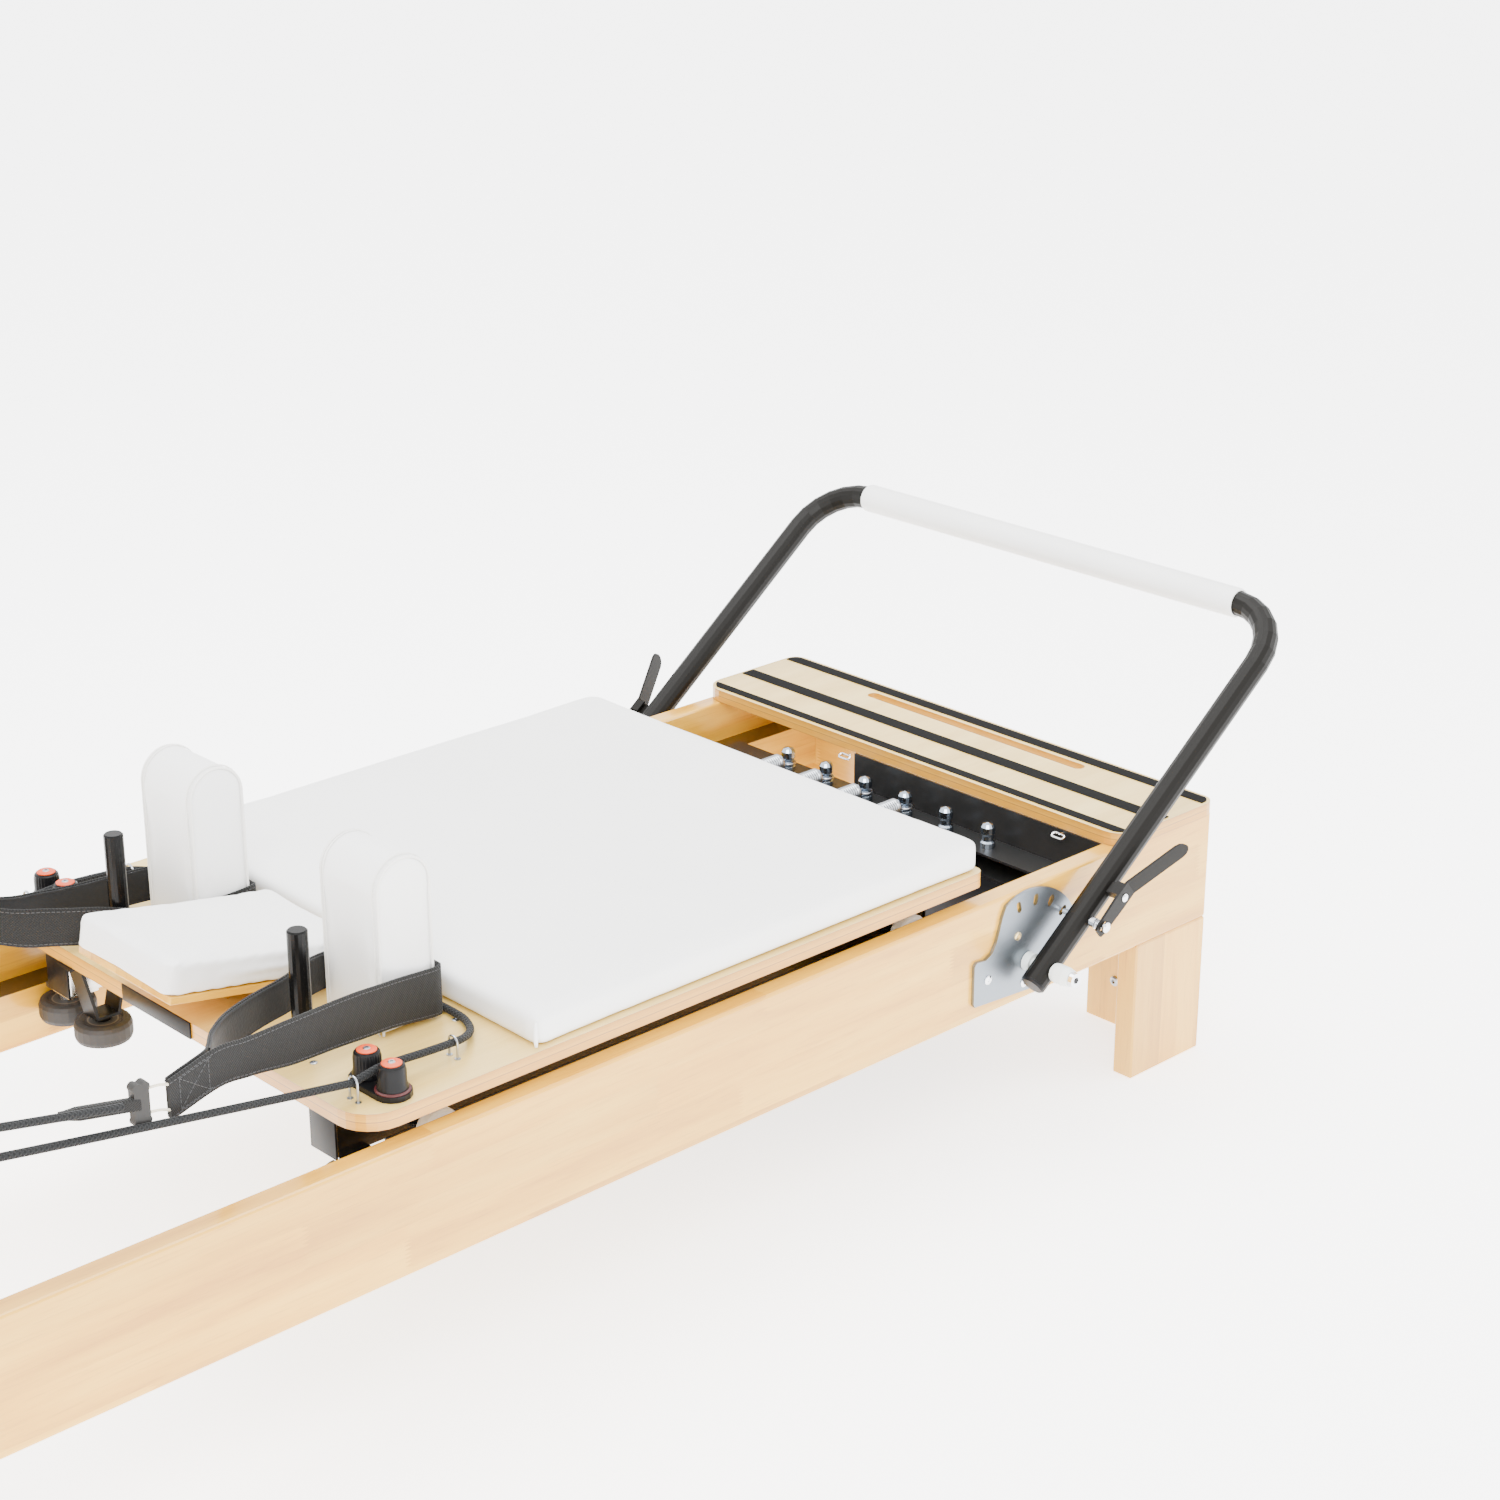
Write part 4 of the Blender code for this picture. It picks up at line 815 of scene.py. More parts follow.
def make_shoulder_rests():
    """Upright pads, each with piping and a stitched seam along both faces."""
    for side_name, side in SIDES:
        low_y, high_y = sorted((side * REST_INNER, side * REST_OUTER))
        bm = bmesh.new()
        fill_prism(bm, rest_outline(0.0006), low_y + 0.0008, high_y - 0.0008, upright)
        bevel_edges(bm, 0.0035, 2, 60)

        def keep(start, point, low_y=low_y, high_y=high_y):
            point.z = max(point.z, DECK_TOP + 0.0004)
            point.y = min(max(point.y, low_y - 0.0012), high_y + 0.0012)
            return point

        cushion(f"{side_name}_rest_cushion", bm, "carriage", [f"{side_name}_shoulder_rest"],
                0.0016, voxel=0.004, keep=keep)
        for face, y, sign in (("low", low_y, 1), ("high", high_y, -1)):
            bm = bmesh.new()
            edge = [Vector((a, y + sign * 0.0012, b)) for a, b in rest_outline(0.0016, 28)]
            fill_tube(bm, edge, 0.0014, 6)
            inner = [Vector((a, y + sign * 0.0072, b)) for a, b in rest_outline(-0.0002, 28)]
            fill_tube(bm, inner, 0.0008, 6)
            add_piece(f"{side_name}_rest_piping_{face}", bm, "piping", "carriage")
            bm = bmesh.new()
            seam = [Vector((a, y + sign * 0.0050, b)) for a, b in rest_outline(-0.0004, 28)]
            stitches(bm, seam, 0.0060, 0.0038, 0.0004)
            add_piece(f"{side_name}_rest_stitching_{face}", bm, "white_thread", "carriage")


HEADREST_HINGE = 1.052
HEADREST_HINGE_Z = 0.3525
HEADREST_TILT = math.radians(10.5)
HEADREST_LENGTH = 0.229
HEADREST_HALF = 0.0875


def headrest_place(a, b, c):
    """World point of (along the board, across, above it), from the hinge line."""
    x = a * math.cos(HEADREST_TILT) + c * math.sin(HEADREST_TILT)
    z = -a * math.sin(HEADREST_TILT) + c * math.cos(HEADREST_TILT)
    return Vector((along(HEADREST_HINGE) + x, b, HEADREST_HINGE_Z + z))


def make_headrest_cushion():
    base = 0.0045
    top = 0.0375
    bm = bmesh.new()
    outline = rounded_rect((-HEADREST_LENGTH + 0.001, -HEADREST_HALF + 0.001),
                           (0.009, HEADREST_HALF - 0.001), (0.014, 0.012, 0.012, 0.014))
    fill_prism(bm, outline, base, top, headrest_place)
    bevel_edges(bm, 0.010, 3)
    to_local = Matrix.Rotation(-HEADREST_TILT, 4, "Y")
    hinge = Vector((along(HEADREST_HINGE), 0, HEADREST_HINGE_Z))
    from_local = Matrix.Rotation(HEADREST_TILT, 4, "Y")

    def keep(start, point):
        """Flat underneath; crowned and faintly rippled on top, with gathered head corners."""
        local = to_local @ (point - hinge)
        was = to_local @ (start - hinge)
        u = (was.x + HEADREST_LENGTH / 2) / (HEADREST_LENGTH / 2)
        v = was.y / HEADREST_HALF
        local.z = max(local.z, base)
        if was.z > top - 0.010:
            local.z += 0.0035 * (1 - min(1, u * u)) * (1 - min(1, v * v))
            local.z += 0.0006 * noise.noise(Vector((was.x * 30, was.y * 22, 1.7)))
        near_head = max(0.0, abs(u) + abs(v) - 1.72) / 0.28
        if near_head > 0 and u < 0:
            fold = math.sin((was.z * 900.0) + was.y * 240.0)
            local.x -= 0.0007 * near_head * fold
            local.y += math.copysign(0.0007, v) * near_head * fold
        local.y = min(max(local.y, -HEADREST_HALF - 0.001), HEADREST_HALF + 0.001)
        return hinge + from_local @ local

    cushion("headrest_cushion", bm, "headrest", ["headrest_pad"], 0.0028, voxel=0.004, keep=keep)

    # raised pinch of vinyl across the top, and the welt along its lower edge
    bm = bmesh.new()
    path = [headrest_place(a, b, c) for a, b, c in (
        (-0.086, -0.012, 0.0400), (-0.084, -0.030, 0.0415), (-0.080, -0.052, 0.0412),
        (-0.076, -0.072, 0.0390), (-0.074, -0.0835, 0.0355))]
    path = smooth_path(path, 0.004)
    count = len(path)
    fill_tube(bm, path, [0.0008 + 0.0022 * math.sin(math.pi * min(1, 0.15 + 0.7 * i / count))
                         for i in range(count)], 8)
    add_piece("headrest_pinch", bm, "vinyl", "headrest")


def make_footbar_grip():
    """Vinyl sleeve over thin foam, with rolled ends and a seam underneath."""
    half = 0.3075
    inner, outer = 0.0152, 0.0182
    profile = [(inner, -half), (inner + 0.0012, -half - 0.0002), (outer - 0.0006, -half + 0.0008),
               (outer, -half + 0.0030)]
    steps = 60
    for i in range(1, steps):
        y = -half + 0.003 + (2 * half - 0.006) * i / steps
        profile.append((outer + 0.00022 * noise.noise(Vector((y * 14, 0.3, 0.9))), y))
    profile += [(outer, half - 0.0030), (outer - 0.0006, half - 0.0008),
                (inner + 0.0012, half + 0.0002), (inner, half), (inner, -half)]
    origin = leg_point(0.522, 0, 0)
    bm = bmesh.new()
    fill_turned(bm, profile, origin, (0, 1, 0), 40)
    bmesh.ops.remove_doubles(bm, verts=bm.verts, dist=1e-6)
    grip = add_piece("footbar_grip", bm, "vinyl", "footbar",
                     parent_nodes=["footbar_sleeve"])
    bm = bmesh.new()
    under = leg_point(0.522, 0, 0) + Vector((0.0075, 0, -0.0166))
    fill_tube(bm, [under + Vector((0, -half + 0.002, 0)), under + Vector((0, half - 0.002, 0))],
              0.0006, 6)
    add_piece("footbar_grip_seam", bm, "piping", "footbar")


# ---------------------------------------------------------------- frame hardware
def grip_strip(name, near_end, far_end):
    """Anti-slip strip across the platform, its ends following the platform's corners."""
    depth, half = 0.1704, 0.357
    inset = 0.0045
    head_radius, foot_radius = 0.030 - inset, 0.018 - inset

    def reach(d):
        """Half the strip's length at this distance from the foot-end face."""
        limit = half - inset
        for distance, radius in ((d - inset, foot_radius), (depth - inset - d, head_radius)):
            if distance < radius:
                gap = radius - max(distance, 0)
                return limit - radius + math.sqrt(max(radius ** 2 - gap ** 2, 0))
        return limit

    steps = 8
    stations = [near_end + (far_end - near_end) * i / steps for i in range(steps + 1)]
    outline = [(along(d), -reach(d)) for d in stations]
    outline += [(along(d), reach(d)) for d in reversed(stations)]
    bm = bmesh.new()
    fill_prism(bm, outline, PLATFORM_TOP + 0.0001, PLATFORM_TOP + 0.0011)
    add_piece(name, bm, "grip_tape", "frame", smooth=None)


def screw_head(bm, position, direction, radius, height, hexagon=True):
    profile = [(0.0, 0.0), (radius, 0.0), (radius, height * 0.55), (radius * 0.7, height)]
    if hexagon:
        recess = radius * 0.42
        profile += [(recess, height), (recess, height * 0.35), (0.0, height * 0.35)]
    else:
        profile += [(0.0, height * 1.1)]
    fill_turned(bm, profile, position, direction, 18)


def screws(name, places, direction, radius, height, material, body):
    bm = bmesh.new()
    for place in places:
        screw_head(bm, place, direction, radius, height)
    add_piece(name, bm, material, body)


def make_frame_hardware():
    grip_strip("grip_strip_outer", 0.0055, 0.0225)
    grip_strip("grip_strip_middle", 0.0840, 0.1040)
    grip_strip("grip_strip_inner", 0.1510, 0.1640)
    for side_name, side in SIDES:
        out = (0, side, 0)
        face_y = side * PLATE_FACE_Y
        screws(f"{side_name}_gear_plate_screws",
               ((along(0.3936), face_y, 0.2216), (along(0.3330), face_y, 0.1985)), out,
               0.0055, 0.0016, "chrome", "frame")
        screws(f"{side_name}_gear_plate_brass_screw", ((along(0.3460), face_y, 0.2600),), out,
               0.0050, 0.0016, "brass", "frame")
        # recess of the pivot bolt's socket
        turned_piece(f"{side_name}_pivot_bolt_socket",
                     [(0.0, 0.0), (0.0038, 0.0), (0.0038, 0.0004), (0.0, 0.0004)],
                     (along(PIVOT_FROM_FOOT), side * 0.4265, PIVOT_Z), out, 6, "plastic", "frame")
        for end_name, face, direction in (("foot", 0.0286, -1), ("head", 2.4214, 1)):
            screws(f"{side_name}_{end_name}_leg_bolts",
                   [(along(face), side * 0.2400, z) for z in (0.060, 0.125)],
                   (direction, 0, 0), 0.0065, 0.0035, "zinc", "frame")
        # wire link on the upright panel that parks a spring
        bm = bmesh.new()
        y = -0.268 if side < 0 else 0.084
        center = Vector((along(0.1790), y, 0.3075))
        link = arc((0.0, 0.0055), 0.0032, 0, 180, 6) + arc((0.0, -0.0055), 0.0032, 180, 360, 6)
        fill_tube(bm, [center + Vector((-0.0022 + a * 0.9, b, a * 0.5)) for a, b in link],
                  0.0013, 8, closed=True)
        fill_tube(bm, [center + Vector((0.0015, 0, 0.001)), center + Vector((0.0072, 0, 0.0010))],
                  0.0013, 8)
        add_piece(f"{side_name}_spring_link", bm, "chrome", "frame")
    # black sheet behind the spring bar, under the springs' hooks: painted shade of the dark recess
    # there, not a real tray
    box_piece("spring_recess_painted_shade", (along(0.560), -0.2880, 0.2358), (along(0.2150), 0.2880, 0.2378), 0,
              "plastic", "frame")


def make_riser_hardware():
    x = along(RISER_FROM_FOOT)
    for side_name, side in SIDES:
        y = side * 0.337
        screws(f"{side_name}_riser_screws", [(x + dx, y, 0.3179) for dx in (-0.019, 0.023)],
               (0, 0, 1), 0.0038, 0.0016, "zinc", "frame")
        turned_piece(f"{side_name}_riser_cap", [(0.0, 0.0), (0.0112, 0.0), (0.0112, 0.0015),
                                                (0.0070, 0.0040), (0.0, 0.0046)],
                     (x, y, 0.6552), (0, 0, 1), 24, "plastic", "frame")
        bm = bmesh.new()
        for sign in (-1, 1):
            face = side * PULLEY_Y + sign * 0.0137
            fill_turned(bm, [(0.0, 0.0), (0.0072, 0.0), (0.0072, 0.0022), (0.0048, 0.0038),
                             (0.0, 0.0038)],
                        (along(PULLEY_FROM_FOOT), face, PULLEY_Z), (0, sign, 0), 6)
        add_piece(f"{side_name}_pulley_nuts", bm, "zinc", "frame")


def make_springs():
    """Close-wound springs, each with a loop round the waist of its post."""
    wire, coil, hook, post_pitch = 0.0015, 0.0104, 0.0090, 0.0683
    start_x, end_x = along(0.2110), along(0.9290)
    turns, steps = 200, 10
    z = 0.2825
    for number in range(4):
        y = (number - 0.5) * post_pitch
        bm = bmesh.new()
        points = []
        for i in range(turns * steps + 1):
            angle = math.tau * i / steps
            x = start_x + (end_x - start_x) * i / (turns * steps)
            points.append(Vector((x, y + coil * math.cos(angle), z + coil * math.sin(angle))))
        fill_tube(bm, points, wire, 5)
        loop = [Vector((along(0.195) + hook * math.cos(math.radians(a)),
                        y + hook * math.sin(math.radians(a)), 0.2790))
                for a in range(200, 521, 16)]
        lead = [Vector((along(0.2050), y - 0.0035, 0.2790)), Vector((along(0.2085), y, 0.2770)),
                Vector((along(0.2110), y + 0.0060, 0.2745))]
        fill_tube(bm, loop + lead, wire, 6)
        spring = add_piece(f"spring_coil_{number + 1}", bm, "zinc", "frame",
                           parent_nodes=[f"spring_{number + 1}"], rides=False, smooth=60)
        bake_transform(spring)


# ---------------------------------------------------------------- footbar hardware
def make_footbar_hardware():
    direction = (math.cos(LEG_ANGLE), 0, math.sin(LEG_ANGLE))
    blade_face = LEVER_Y + 0.0040 + 0.0032
    for side_name, side in SIDES:
        turned_piece(f"{side_name}_tube_cap", [
            (0.0, 0.006), (0.0122, 0.006), (0.0122, 0.0), (0.0148, 0.0), (0.0148, -0.0020),
            (0.0125, -0.0042), (0.0, -0.0046)], leg_point(-0.0220, 0, side * LEG_Y), direction,
            24, "plastic", "footbar")
        bm = bmesh.new()
        screw_head(bm, leg_point(LEVER_FROM_PIVOT - 0.004, -0.0005, side * blade_face),
                   (0, side, 0), 0.0048, 0.0022, hexagon=False)
        add_piece(f"{side_name}_lever_rivet", bm, "chrome", f"{side_name}_lever")
        bm = bmesh.new()
        pin_axis = leg_point(PIN_FROM_PIVOT, 0, 0)
        helix = []
        low, high, turns = 0.4050, 0.4115, 3.5
        steps = 70
        for i in range(steps + 1):
            angle = math.tau * turns * i / steps
            y = side * (low + (high - low) * i / steps)
            helix.append(Vector((pin_axis.x + 0.0052 * math.cos(angle), y,
                                 pin_axis.z + 0.0052 * math.sin(angle))))
        fill_tube(bm, helix, 0.0006, 6)
        add_piece(f"{side_name}_pin_coil", bm, "zinc", f"{side_name}_lock_pin")


# ---------------------------------------------------------------- carriage hardware
def make_carriage_hardware():
    edge = along(1.228)
    box_piece("deck_edge_plate", (edge - 0.0022, -0.050, 0.3262), (edge - 0.0003, 0.074, 0.3446),
              0.0008, "plastic", "carriage")
    for side_name, side in SIDES:
        screws(f"{side_name}_deck_screws",
               [(along(d), side * y, DECK_TOP) for d, y in ((1.034, 0.224), (1.190, 0.203))],
               (0, 0, 1), 0.0040, 0.0011, "zinc", "carriage")
        for end_name, face, direction in (("head", 1.207, -1), ("foot", 0.400, 1)):
            near_x, far_x = (along(face) + direction * gap for gap in (0.0002, 0.0030))
            box_piece(f"{side_name}_{end_name}_beam_cap", (near_x, side * 0.2190, 0.2680),
                      (far_x, side * 0.2610, 0.3254), 0.0010, "plastic", "carriage")
        # dark strip under each beam's outer edge: painted shade beneath the beam, not a real part
        box_piece(f"{side_name}_beam_painted_shade_strip", (along(1.150), side * 0.2565, 0.2590),
                  (along(0.4000), side * 0.2603, 0.2700), 0, "rubber", "carriage")


def make_cleats():
    """Toothed cams with orange caps, the coloured seat of the outer cam, and wire fairleads."""
    low_z, high_z = 0.3506, 0.3770
    sides = 72
    levels = ((0.0150, 0.0), (0.0152, 0.004), (0.0138, 0.008), (0.0138, 0.020),
              (0.0128, 0.0245), (0.0112, 0.0258), (0.0112, 0.0264))
    for side_name, side in SIDES:
        for cam_name, y, turn in (("inner", 0.2690, 1), ("outer", 0.3080, -1)):
            center = Vector((along(CAM_FROM_FOOT), side * y, 0))
            bm = bmesh.new()
            rings = []
            for radius, height in levels:
                ring = []
                toothed = 0.007 < height < 0.021
                for i in range(sides):
                    angle = math.tau * i / sides
                    facing = math.cos(angle - math.pi / 2 * side * turn)
                    tooth = 0.0009 * (i % 3 == 0) if toothed and facing > 0.1 else 0.0
                    r = radius - tooth
                    ring.append(bm.verts.new(center + Vector((r * math.cos(angle),
                                                              r * math.sin(angle),
                                                              low_z + height))))
                rings.append(ring)
            for a, b in zip(rings, rings[1:]):
                for i in range(sides):
                    j = (i + 1) % sides
                    bm.faces.new((a[i], a[j], b[j], b[i]))
            bm.faces.new(rings[0])
            bm.faces.new(rings[-1])
            body = f"{side_name}_{cam_name}_cam"
            add_piece(f"{side_name}_{cam_name}_cam_body", bm, "plastic", body,
                      smooth=30, parent_nodes=[body])
            turned_piece(f"{side_name}_{cam_name}_cam_cap", [
                (0.0038, 0.0), (0.0100, 0.0), (0.0100, 0.0009), (0.0086, 0.0018),
                (0.0038, 0.0018), (0.0038, 0.0)], center + Vector((0, 0, high_z)), (0, 0, 1), 28,
                "orange", body)
            screws(f"{side_name}_{cam_name}_cam_screw",
                   [center + Vector((0, 0, high_z + 0.0002))], (0, 0, 1), 0.0040, 0.0024, "zinc",
                   "carriage")
        turned_piece(f"{side_name}_outer_cam_ring", [
            (0.0156, 0.0), (0.0176, 0.0), (0.0176, 0.0012), (0.0156, 0.0020), (0.0156, 0.0)],
            (along(CAM_FROM_FOOT), side * 0.3080, 0.3501), (0, 0, 1), 32, "dark_red", "carriage")
        for place, d, y, top in (("head", 1.2075, 0.2925, 0.3690), ("foot", 1.0850, 0.2858, 0.3664)):
            bm = bmesh.new()
            half, rise = 0.0064, 0.0060
            path = [(y - half, DECK_TOP + 0.0004), (y - half, top - rise)]
            path += [(y - half * math.cos(math.radians(a)),
                      top - rise + rise * math.sin(math.radians(a))) for a in range(15, 180, 15)]
            path += [(y + half, top - rise), (y + half, DECK_TOP + 0.0004)]
            fill_tube(bm, [Vector((along(d), side * a, b)) for a, b in path], 0.0013, 8)
            for foot in (y - half, y + half):
                fill_turned(bm, [(0.0, 0.0), (0.0032, 0.0), (0.0032, 0.0008), (0.0, 0.0008)],
                            (along(d), side * foot, DECK_TOP), (0, 0, 1), 14)
            add_piece(f"{side_name}_{place}_fairlead", bm, "zinc", "carriage")


# ---------------------------------------------------------------- ropes and straps
def tangent_angle(point, upper):
    """Angle round the pulley where a rope from (distance, height) meets its pitch circle."""
    dx = PULLEY_FROM_FOOT - point[0]
    dz = point[1] - PULLEY_Z
    middle = math.atan2(dz, dx)
    offset = math.acos(PULLEY_PITCH / math.hypot(dx, dz))
    return middle + offset if upper else middle - offset


ROPE_TAIL = [(1.0310, 0.1850, 0.3490), (1.0310, 0.2150, 0.3492), (1.0345, 0.2400, 0.3500),
             (1.0470, 0.2640, 0.3520), (1.0660, 0.2790, 0.3560), (1.0870, 0.2865, 0.3600),
             (1.1200, 0.2885, 0.3625), (1.1500, 0.2885, 0.3645), (1.1740, 0.2885, 0.3655),
             (1.1900, 0.2895, 0.3640), (1.2080, 0.2920, 0.3625)]
ROPE_MEETS_STRAP = (1.4550, 0.3000, 0.4310)


def on_side(points, side):
    """World points of a route given as (distance from the foot end, |y|, height)."""
    return [Vector((along(d), side * y, z)) for d, y, z in points]


def make_ropes():
    """Rope from its tail through the cleat, over the pulley and back to the strap."""
    low = tangent_angle((ROPE_TAIL[-1][0], ROPE_TAIL[-1][2]), False)
    high = tangent_angle((ROPE_MEETS_STRAP[0], ROPE_MEETS_STRAP[2]), True)

    def on_pulley(angle, side):
        return Vector((along(PULLEY_FROM_FOOT) + PULLEY_PITCH * math.cos(angle),
                       side * PULLEY_Y, PULLEY_Z + PULLEY_PITCH * math.sin(angle)))

    for side_name, side in SIDES:
        bm = bmesh.new()
        fill_tube(bm, smooth_path(on_side(ROPE_TAIL, side), 0.004), ROPE_RADIUS, 12, map_uv=True)
        add_piece(f"{side_name}_rope_tail", bm, "braid", "carriage", smooth=60,
                  parent_nodes=[f"{side_name}_rope"])

        bm = bmesh.new()
        sweep = low + math.tau - high
        wrap = [on_pulley(low - sweep * i / 40, side) for i in range(41)]
        fill_tube(bm, wrap, ROPE_RADIUS, 12, map_uv=True)
        add_piece(f"{side_name}_rope_wrap", bm, "braid", "frame", smooth=60)

        for run, start, end, keep in (
                ("lower", on_pulley(low, side), on_side(ROPE_TAIL[-1:], side)[0],
                 1 - TRAVEL / (PULLEY_FROM_FOOT - ROPE_TAIL[-1][0])),
                ("upper", on_pulley(high, side), on_side([ROPE_MEETS_STRAP], side)[0], None)):
            if keep is None:
                moved = TRAVEL - (1 - STRAP_KEEP) * (ROPE_MEETS_STRAP[0] - STRAP_ANCHOR)
                keep = 1 - moved / (PULLEY_FROM_FOOT - ROPE_MEETS_STRAP[0])
            sag = 0.004 if run == "upper" else 0.006
            steps = 90
            points = []
            for i in range(steps + 1):
                t = i / steps
                point = start.lerp(end, t)
                point.z -= 4 * sag * t * (1 - t)
                points.append(point)
            bm = bmesh.new()
            fill_tube(bm, points, ROPE_RADIUS, 12, map_uv=True)
            rope = add_piece(f"{side_name}_rope_{run}", bm, "braid", "frame",
                             smooth=60)
            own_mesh(rope)
            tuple(start)


# route of each strap: distance from the foot end, |y|, height of its middle, and its width
STRAP_LOOP = {
    "near": [(1.3980, 0.2830, 0.4100, 0.040), (1.3400, 0.2700, 0.4170, 0.040),
             (1.3000, 0.2620, 0.4110, 0.041), (1.2500, 0.2530, 0.4040, 0.047),
             (1.1800, 0.2370, 0.3965, 0.050), (1.1100, 0.2220, 0.3850, 0.052),
             (1.0500, 0.2120, 0.3750, 0.053), (1.0400, 0.2080, 0.3750, 0.052),
             (1.0385, 0.1980, 0.3795, 0.044), (1.0385, 0.1220, 0.3790, 0.040),
             (1.0400, 0.1120, 0.3790, 0.040), (1.0500, 0.1080, 0.3795, 0.040),
             (1.1020, 0.1080, 0.3820, 0.040), (1.1400, 0.1200, 0.3850, 0.040),
             (1.1725, 0.1360, 0.3870, 0.040), (1.2170, 0.1490, 0.3880, 0.040),
             (1.2640, 0.1720, 0.3910, 0.040), (1.2990, 0.2010, 0.3960, 0.040),
             (1.3250, 0.2340, 0.4030, 0.040), (1.3480, 0.2600, 0.4120, 0.040),
             (1.3960, 0.2765, 0.4100, 0.040)],
    "far": [(1.3980, 0.2830, 0.4100, 0.040), (1.3400, 0.2700, 0.3950, 0.040),
            (1.2950, 0.2640, 0.3800, 0.040), (1.2520, 0.2570, 0.3690, 0.040),
            (1.2170, 0.2490, 0.3665, 0.040), (1.1840, 0.2405, 0.3665, 0.040),
            (1.1500, 0.2320, 0.3680, 0.040), (1.1100, 0.2200, 0.3710, 0.040),
            (1.0500, 0.2120, 0.3690, 0.040), (1.0400, 0.2080, 0.3670, 0.040),
            (1.0385, 0.1980, 0.3665, 0.040), (1.0385, 0.1220, 0.3665, 0.040),
            (1.0400, 0.1120, 0.3665, 0.040), (1.0500, 0.1080, 0.3665, 0.040),
            (1.1020, 0.1080, 0.3665, 0.040), (1.1400, 0.1200, 0.3670, 0.041),
            (1.1720, 0.1415, 0.3675, 0.042), (1.2020, 0.1660, 0.3685, 0.043),
            (1.2350, 0.1930, 0.3690, 0.043), (1.2640, 0.2150, 0.3700, 0.043),
            (1.3000, 0.2380, 0.3800, 0.041), (1.3480, 0.2620, 0.3960, 0.040),
            (1.3960, 0.2765, 0.4100, 0.040)],
}
STRAP_ANCHOR = 1.0360


def fill_ribbon(bm, points, heights, thickness, rounding=0.0011):
    """Band on edge along points, with a map in metres: u along, v up."""
    section = []
    half_t = thickness / 2
    for side, top, start in ((1, 1, 0), (-1, 1, 90), (-1, -1, 180), (1, -1, 270)):
        section += [(a, top, b) for a, b in arc((side * (half_t - rounding), -top * rounding),
                                                rounding, start, start + 90, 2)]
    refined = []
    for i, (across, top, up) in enumerate(section):
        following = section[(i + 1) % len(section)]
        refined.append((across, top, up))
        if top != following[1]:
            refined += [(across, top * (1 - 2 * k / 5), up * (1 - 2 * k / 5)) for k in range(1, 5)]
    section = refined
    layer = bm.loops.layers.uv.verify()
    rings = []
    run = 0.0
    runs = []
    for i, point in enumerate(points):
        before, after = points[max(i - 1, 0)], points[min(i + 1, len(points) - 1)]
        along_run = after - before
        out = Vector((-along_run.y, along_run.x, 0)).normalized()
        if i:
            run += (points[i] - points[i - 1]).length
        runs.append(run)
        levels = [top * heights[i] / 2 + up for _, top, up in section]
        rings.append([bm.verts.new(point + out * a + Vector((0, 0, level)))
                      for (a, _, _), level in zip(section, levels)])
    count = len(section)
    for r in range(len(rings) - 1):
        for i in range(count):
            j = (i + 1) % count
            face = bm.faces.new((rings[r][i], rings[r][j], rings[r + 1][j], rings[r + 1][i]))
            low, high = (section[k][1] * heights[r] / 2 for k in (i, j))
            values = ((runs[r], low), (runs[r], high), (runs[r + 1], high), (runs[r + 1], low))
            for loop, (u, v) in zip(face.loops, values):
                loop[layer].uv = (u, v)
    bm.faces.new(rings[0])
    bm.faces.new(rings[-1])


def offset_path(points, distance):
    """The same path, moved sideways in the floor plane."""
    result = []
    for i, point in enumerate(points):
        before, after = points[max(i - 1, 0)], points[min(i + 1, len(points) - 1)]
        run = after - before
        result.append(point + Vector((-run.y, run.x, 0)).normalized() * distance)
    return result


def strap_piece(name, bm, material, smooth=40, parent_nodes=()):
    """Piece of a strap, riding on the carriage, with its own copy of its mesh."""
    obj = add_piece(name, bm, material, "carriage", smooth, parent_nodes)
    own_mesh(obj)


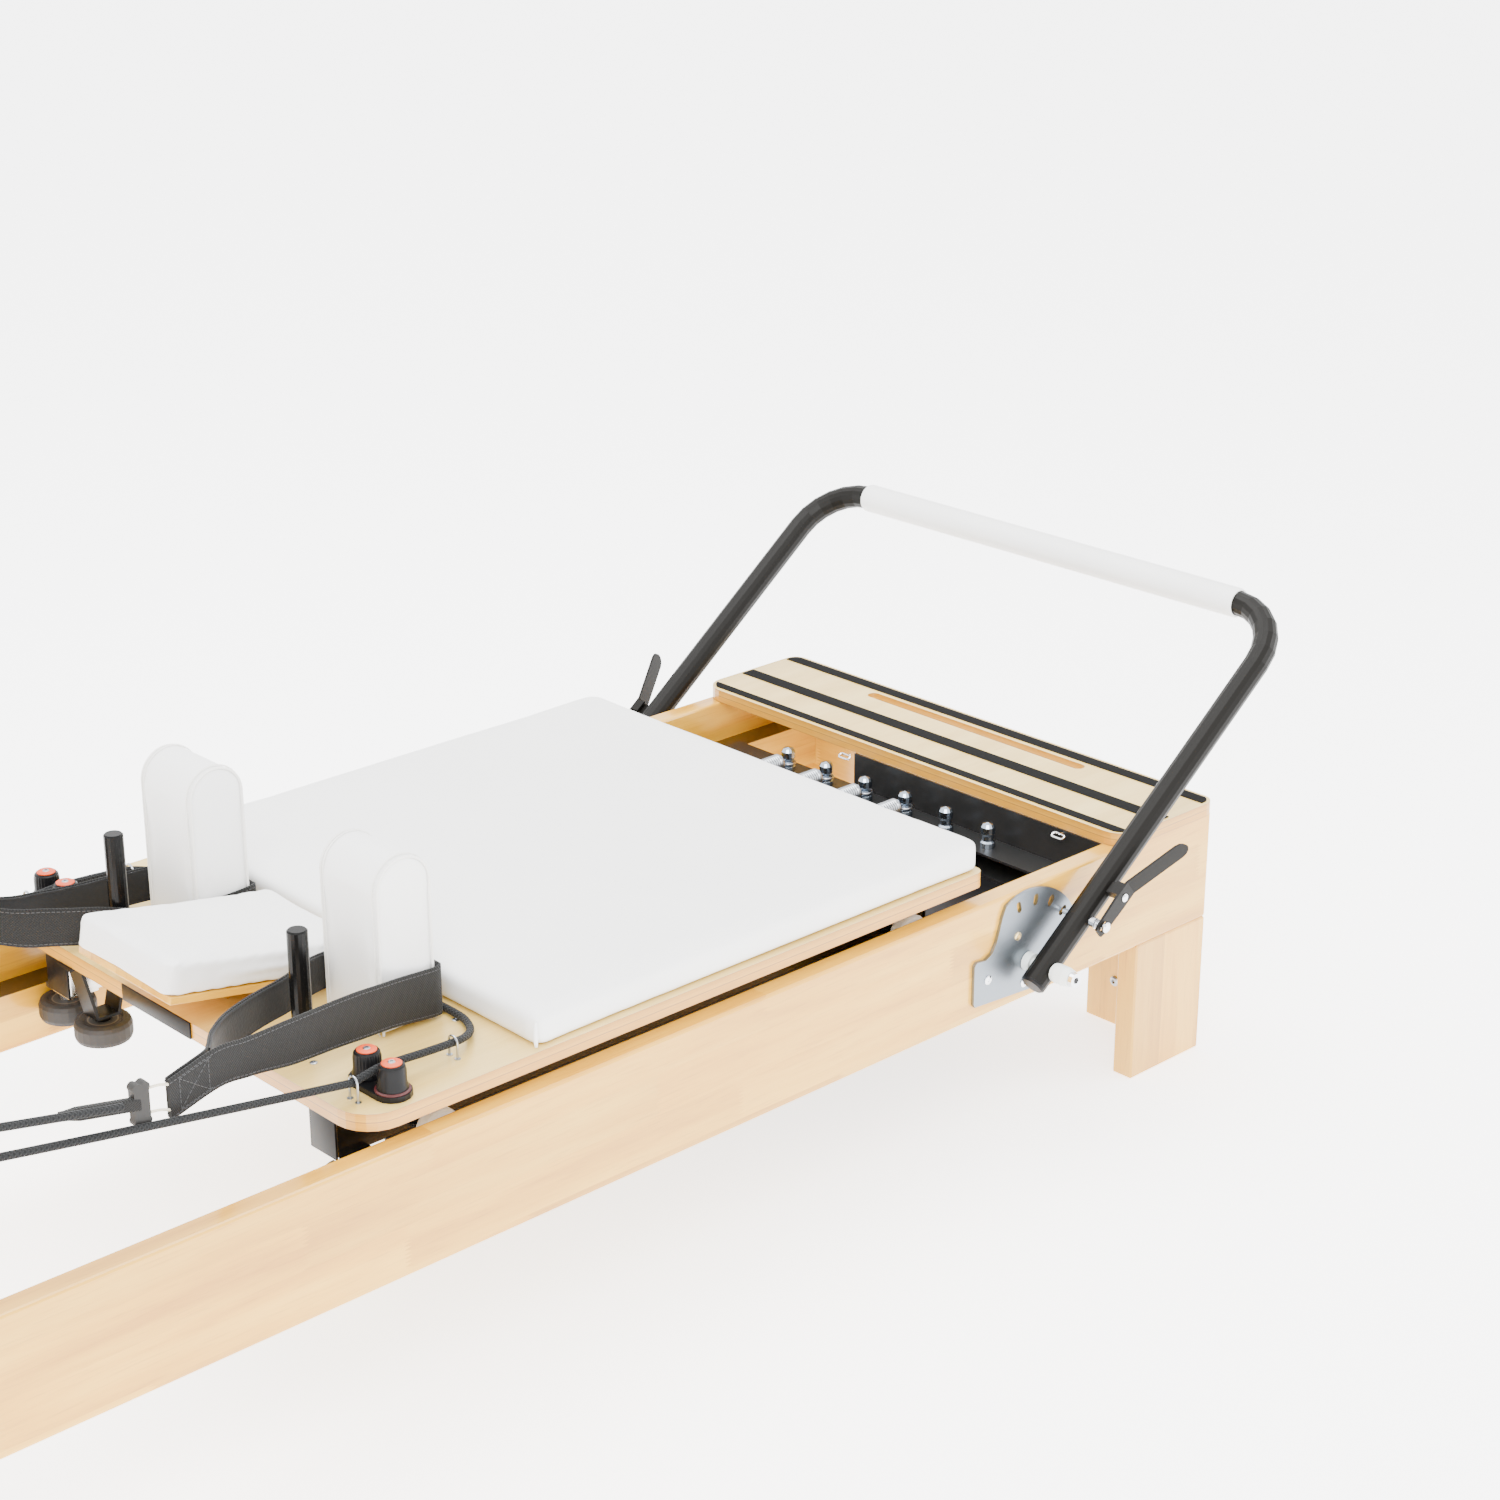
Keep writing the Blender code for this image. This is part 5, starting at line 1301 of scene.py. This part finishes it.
def make_straps():
    """Webbing loop round rest and post, with its lining, its thread and its toggle."""
    thickness = 0.0030
    for side_name, side in SIDES:
        stations = smooth_path([(along(d), side * y, z, height)
                                for d, y, z, height in STRAP_LOOP[side_name]], 0.006)
        points = [station.to_3d() for station in stations]
        heights = [station[3] for station in stations]
        for i, point in enumerate(points):
            point.y += 0.0006 * noise.noise(Vector((i * 0.11, side * 4.0, 0.5)))
            point.z += 0.0012 * noise.noise(Vector((i * 0.07, side * 2.0, 9.5)))
            heights[i] += 0.0014 * noise.noise(Vector((i * 0.13, side * 3.0, 4.5)))
        bm = bmesh.new()
        fill_ribbon(bm, points, heights, thickness)
        strap_piece(f"{side_name}_strap_loop", bm, "webbing", 50,
                    [f"{side_name}_strap"])
        # padded lining inside the loop, with a rolled edge at top and bottom
        inner_points = offset_path(points, -side * (thickness / 2 + 0.0007))[12:-12]
        inner_heights = [h - 0.005 for h in heights[12:-12]]
        bm = bmesh.new()
        fill_ribbon(bm, inner_points, inner_heights, 0.0016, 0.0007)
        for sign in (-1, 1):
            fill_tube(bm, [p + Vector((0, 0, sign * h / 2))
                           for p, h in zip(inner_points, inner_heights)], 0.0013, 6)
        strap_piece(f"{side_name}_strap_lining", bm, "velvet", 60)
        bm = bmesh.new()
        outside = offset_path(points, side * (thickness / 2 + 0.0001))
        for sign in (-1, 1):
            stitches(bm, [p + Vector((0, 0, sign * (h / 2 - 0.0035)))
                          for p, h in zip(outside, heights)])
        # box with a cross in it, where the tails are sewn together
        up = Vector((0, 0, heights[2] / 2 - 0.005))
        first, last = outside[2], outside[8]
        for a, b in ((first - up, last + up), (first - up, last - up), (first + up, last - up),
                     (first + up, last + up), (first + up, first - up), (last + up, last - up)):
            stitches(bm, [a, b])
        strap_piece(f"{side_name}_strap_stitching", bm, "thread")
        make_toggle(side_name, side)


def make_toggle(side_name, side):
    """Cord ring through the strap's tail, the dog-bone toggle, and the rope's sewn eye."""
    tail = Vector((along(1.3980), side * 0.2798, 0.4100))
    center = Vector((along(1.4300), side * 0.2860, 0.4205))
    bm = bmesh.new()
    for level in (0.0130, -0.0130):
        hole = tail + Vector((0.006, 0, level))
        knot = center + Vector((0, 0, level * 0.9))
        loop = [hole, hole.lerp(knot, 0.5) + Vector((0, side * 0.004, 0.004)), knot]
        fill_tube(bm, smooth_path(loop, 0.003), 0.0014, 8)
    strap_piece(f"{side_name}_strap_ring", bm, "cord")

    bm = bmesh.new()
    outline = []
    for sx, sz, start in ((1, 1, -40), (-1, 1, 40), (-1, -1, 140), (1, -1, 220)):
        outline += arc((center.x + sx * 0.0042, center.z + sz * 0.0165), 0.0046, start,
                       start + 180, 8)
    fill_prism(bm, outline, center.y - 0.0050, center.y + 0.0050, upright)
    bevel_edges(bm, 0.0022, 3, 60)
    strap_piece(f"{side_name}_toggle", bm, "rubber", 70)

    start = center + Vector((-0.002, side * 0.001, 0.0005))
    end = Vector((along(1.5120), side * 0.2945, 0.4405))
    steps = 14
    path = [start.lerp(end, i / steps) for i in range(steps + 1)]
    heights = [0.0125] * (steps - 2) + [0.0105, 0.0085, 0.0080]
    bm = bmesh.new()
    fill_ribbon(bm, path, heights, 0.0092, 0.0022)
    strap_piece(f"{side_name}_rope_eye", bm, "webbing", 60)


# ---------------------------------------------------------------- run
make_materials()
make_stage()
finish_cad_nodes()
make_frame_hardware()
make_riser_hardware()
make_springs()
make_footbar_hardware()
make_footbar_grip()
make_carriage_hardware()
make_cleats()
make_ropes()
make_straps()
make_carriage_cushion()
make_shoulder_rests()
make_headrest_cushion()
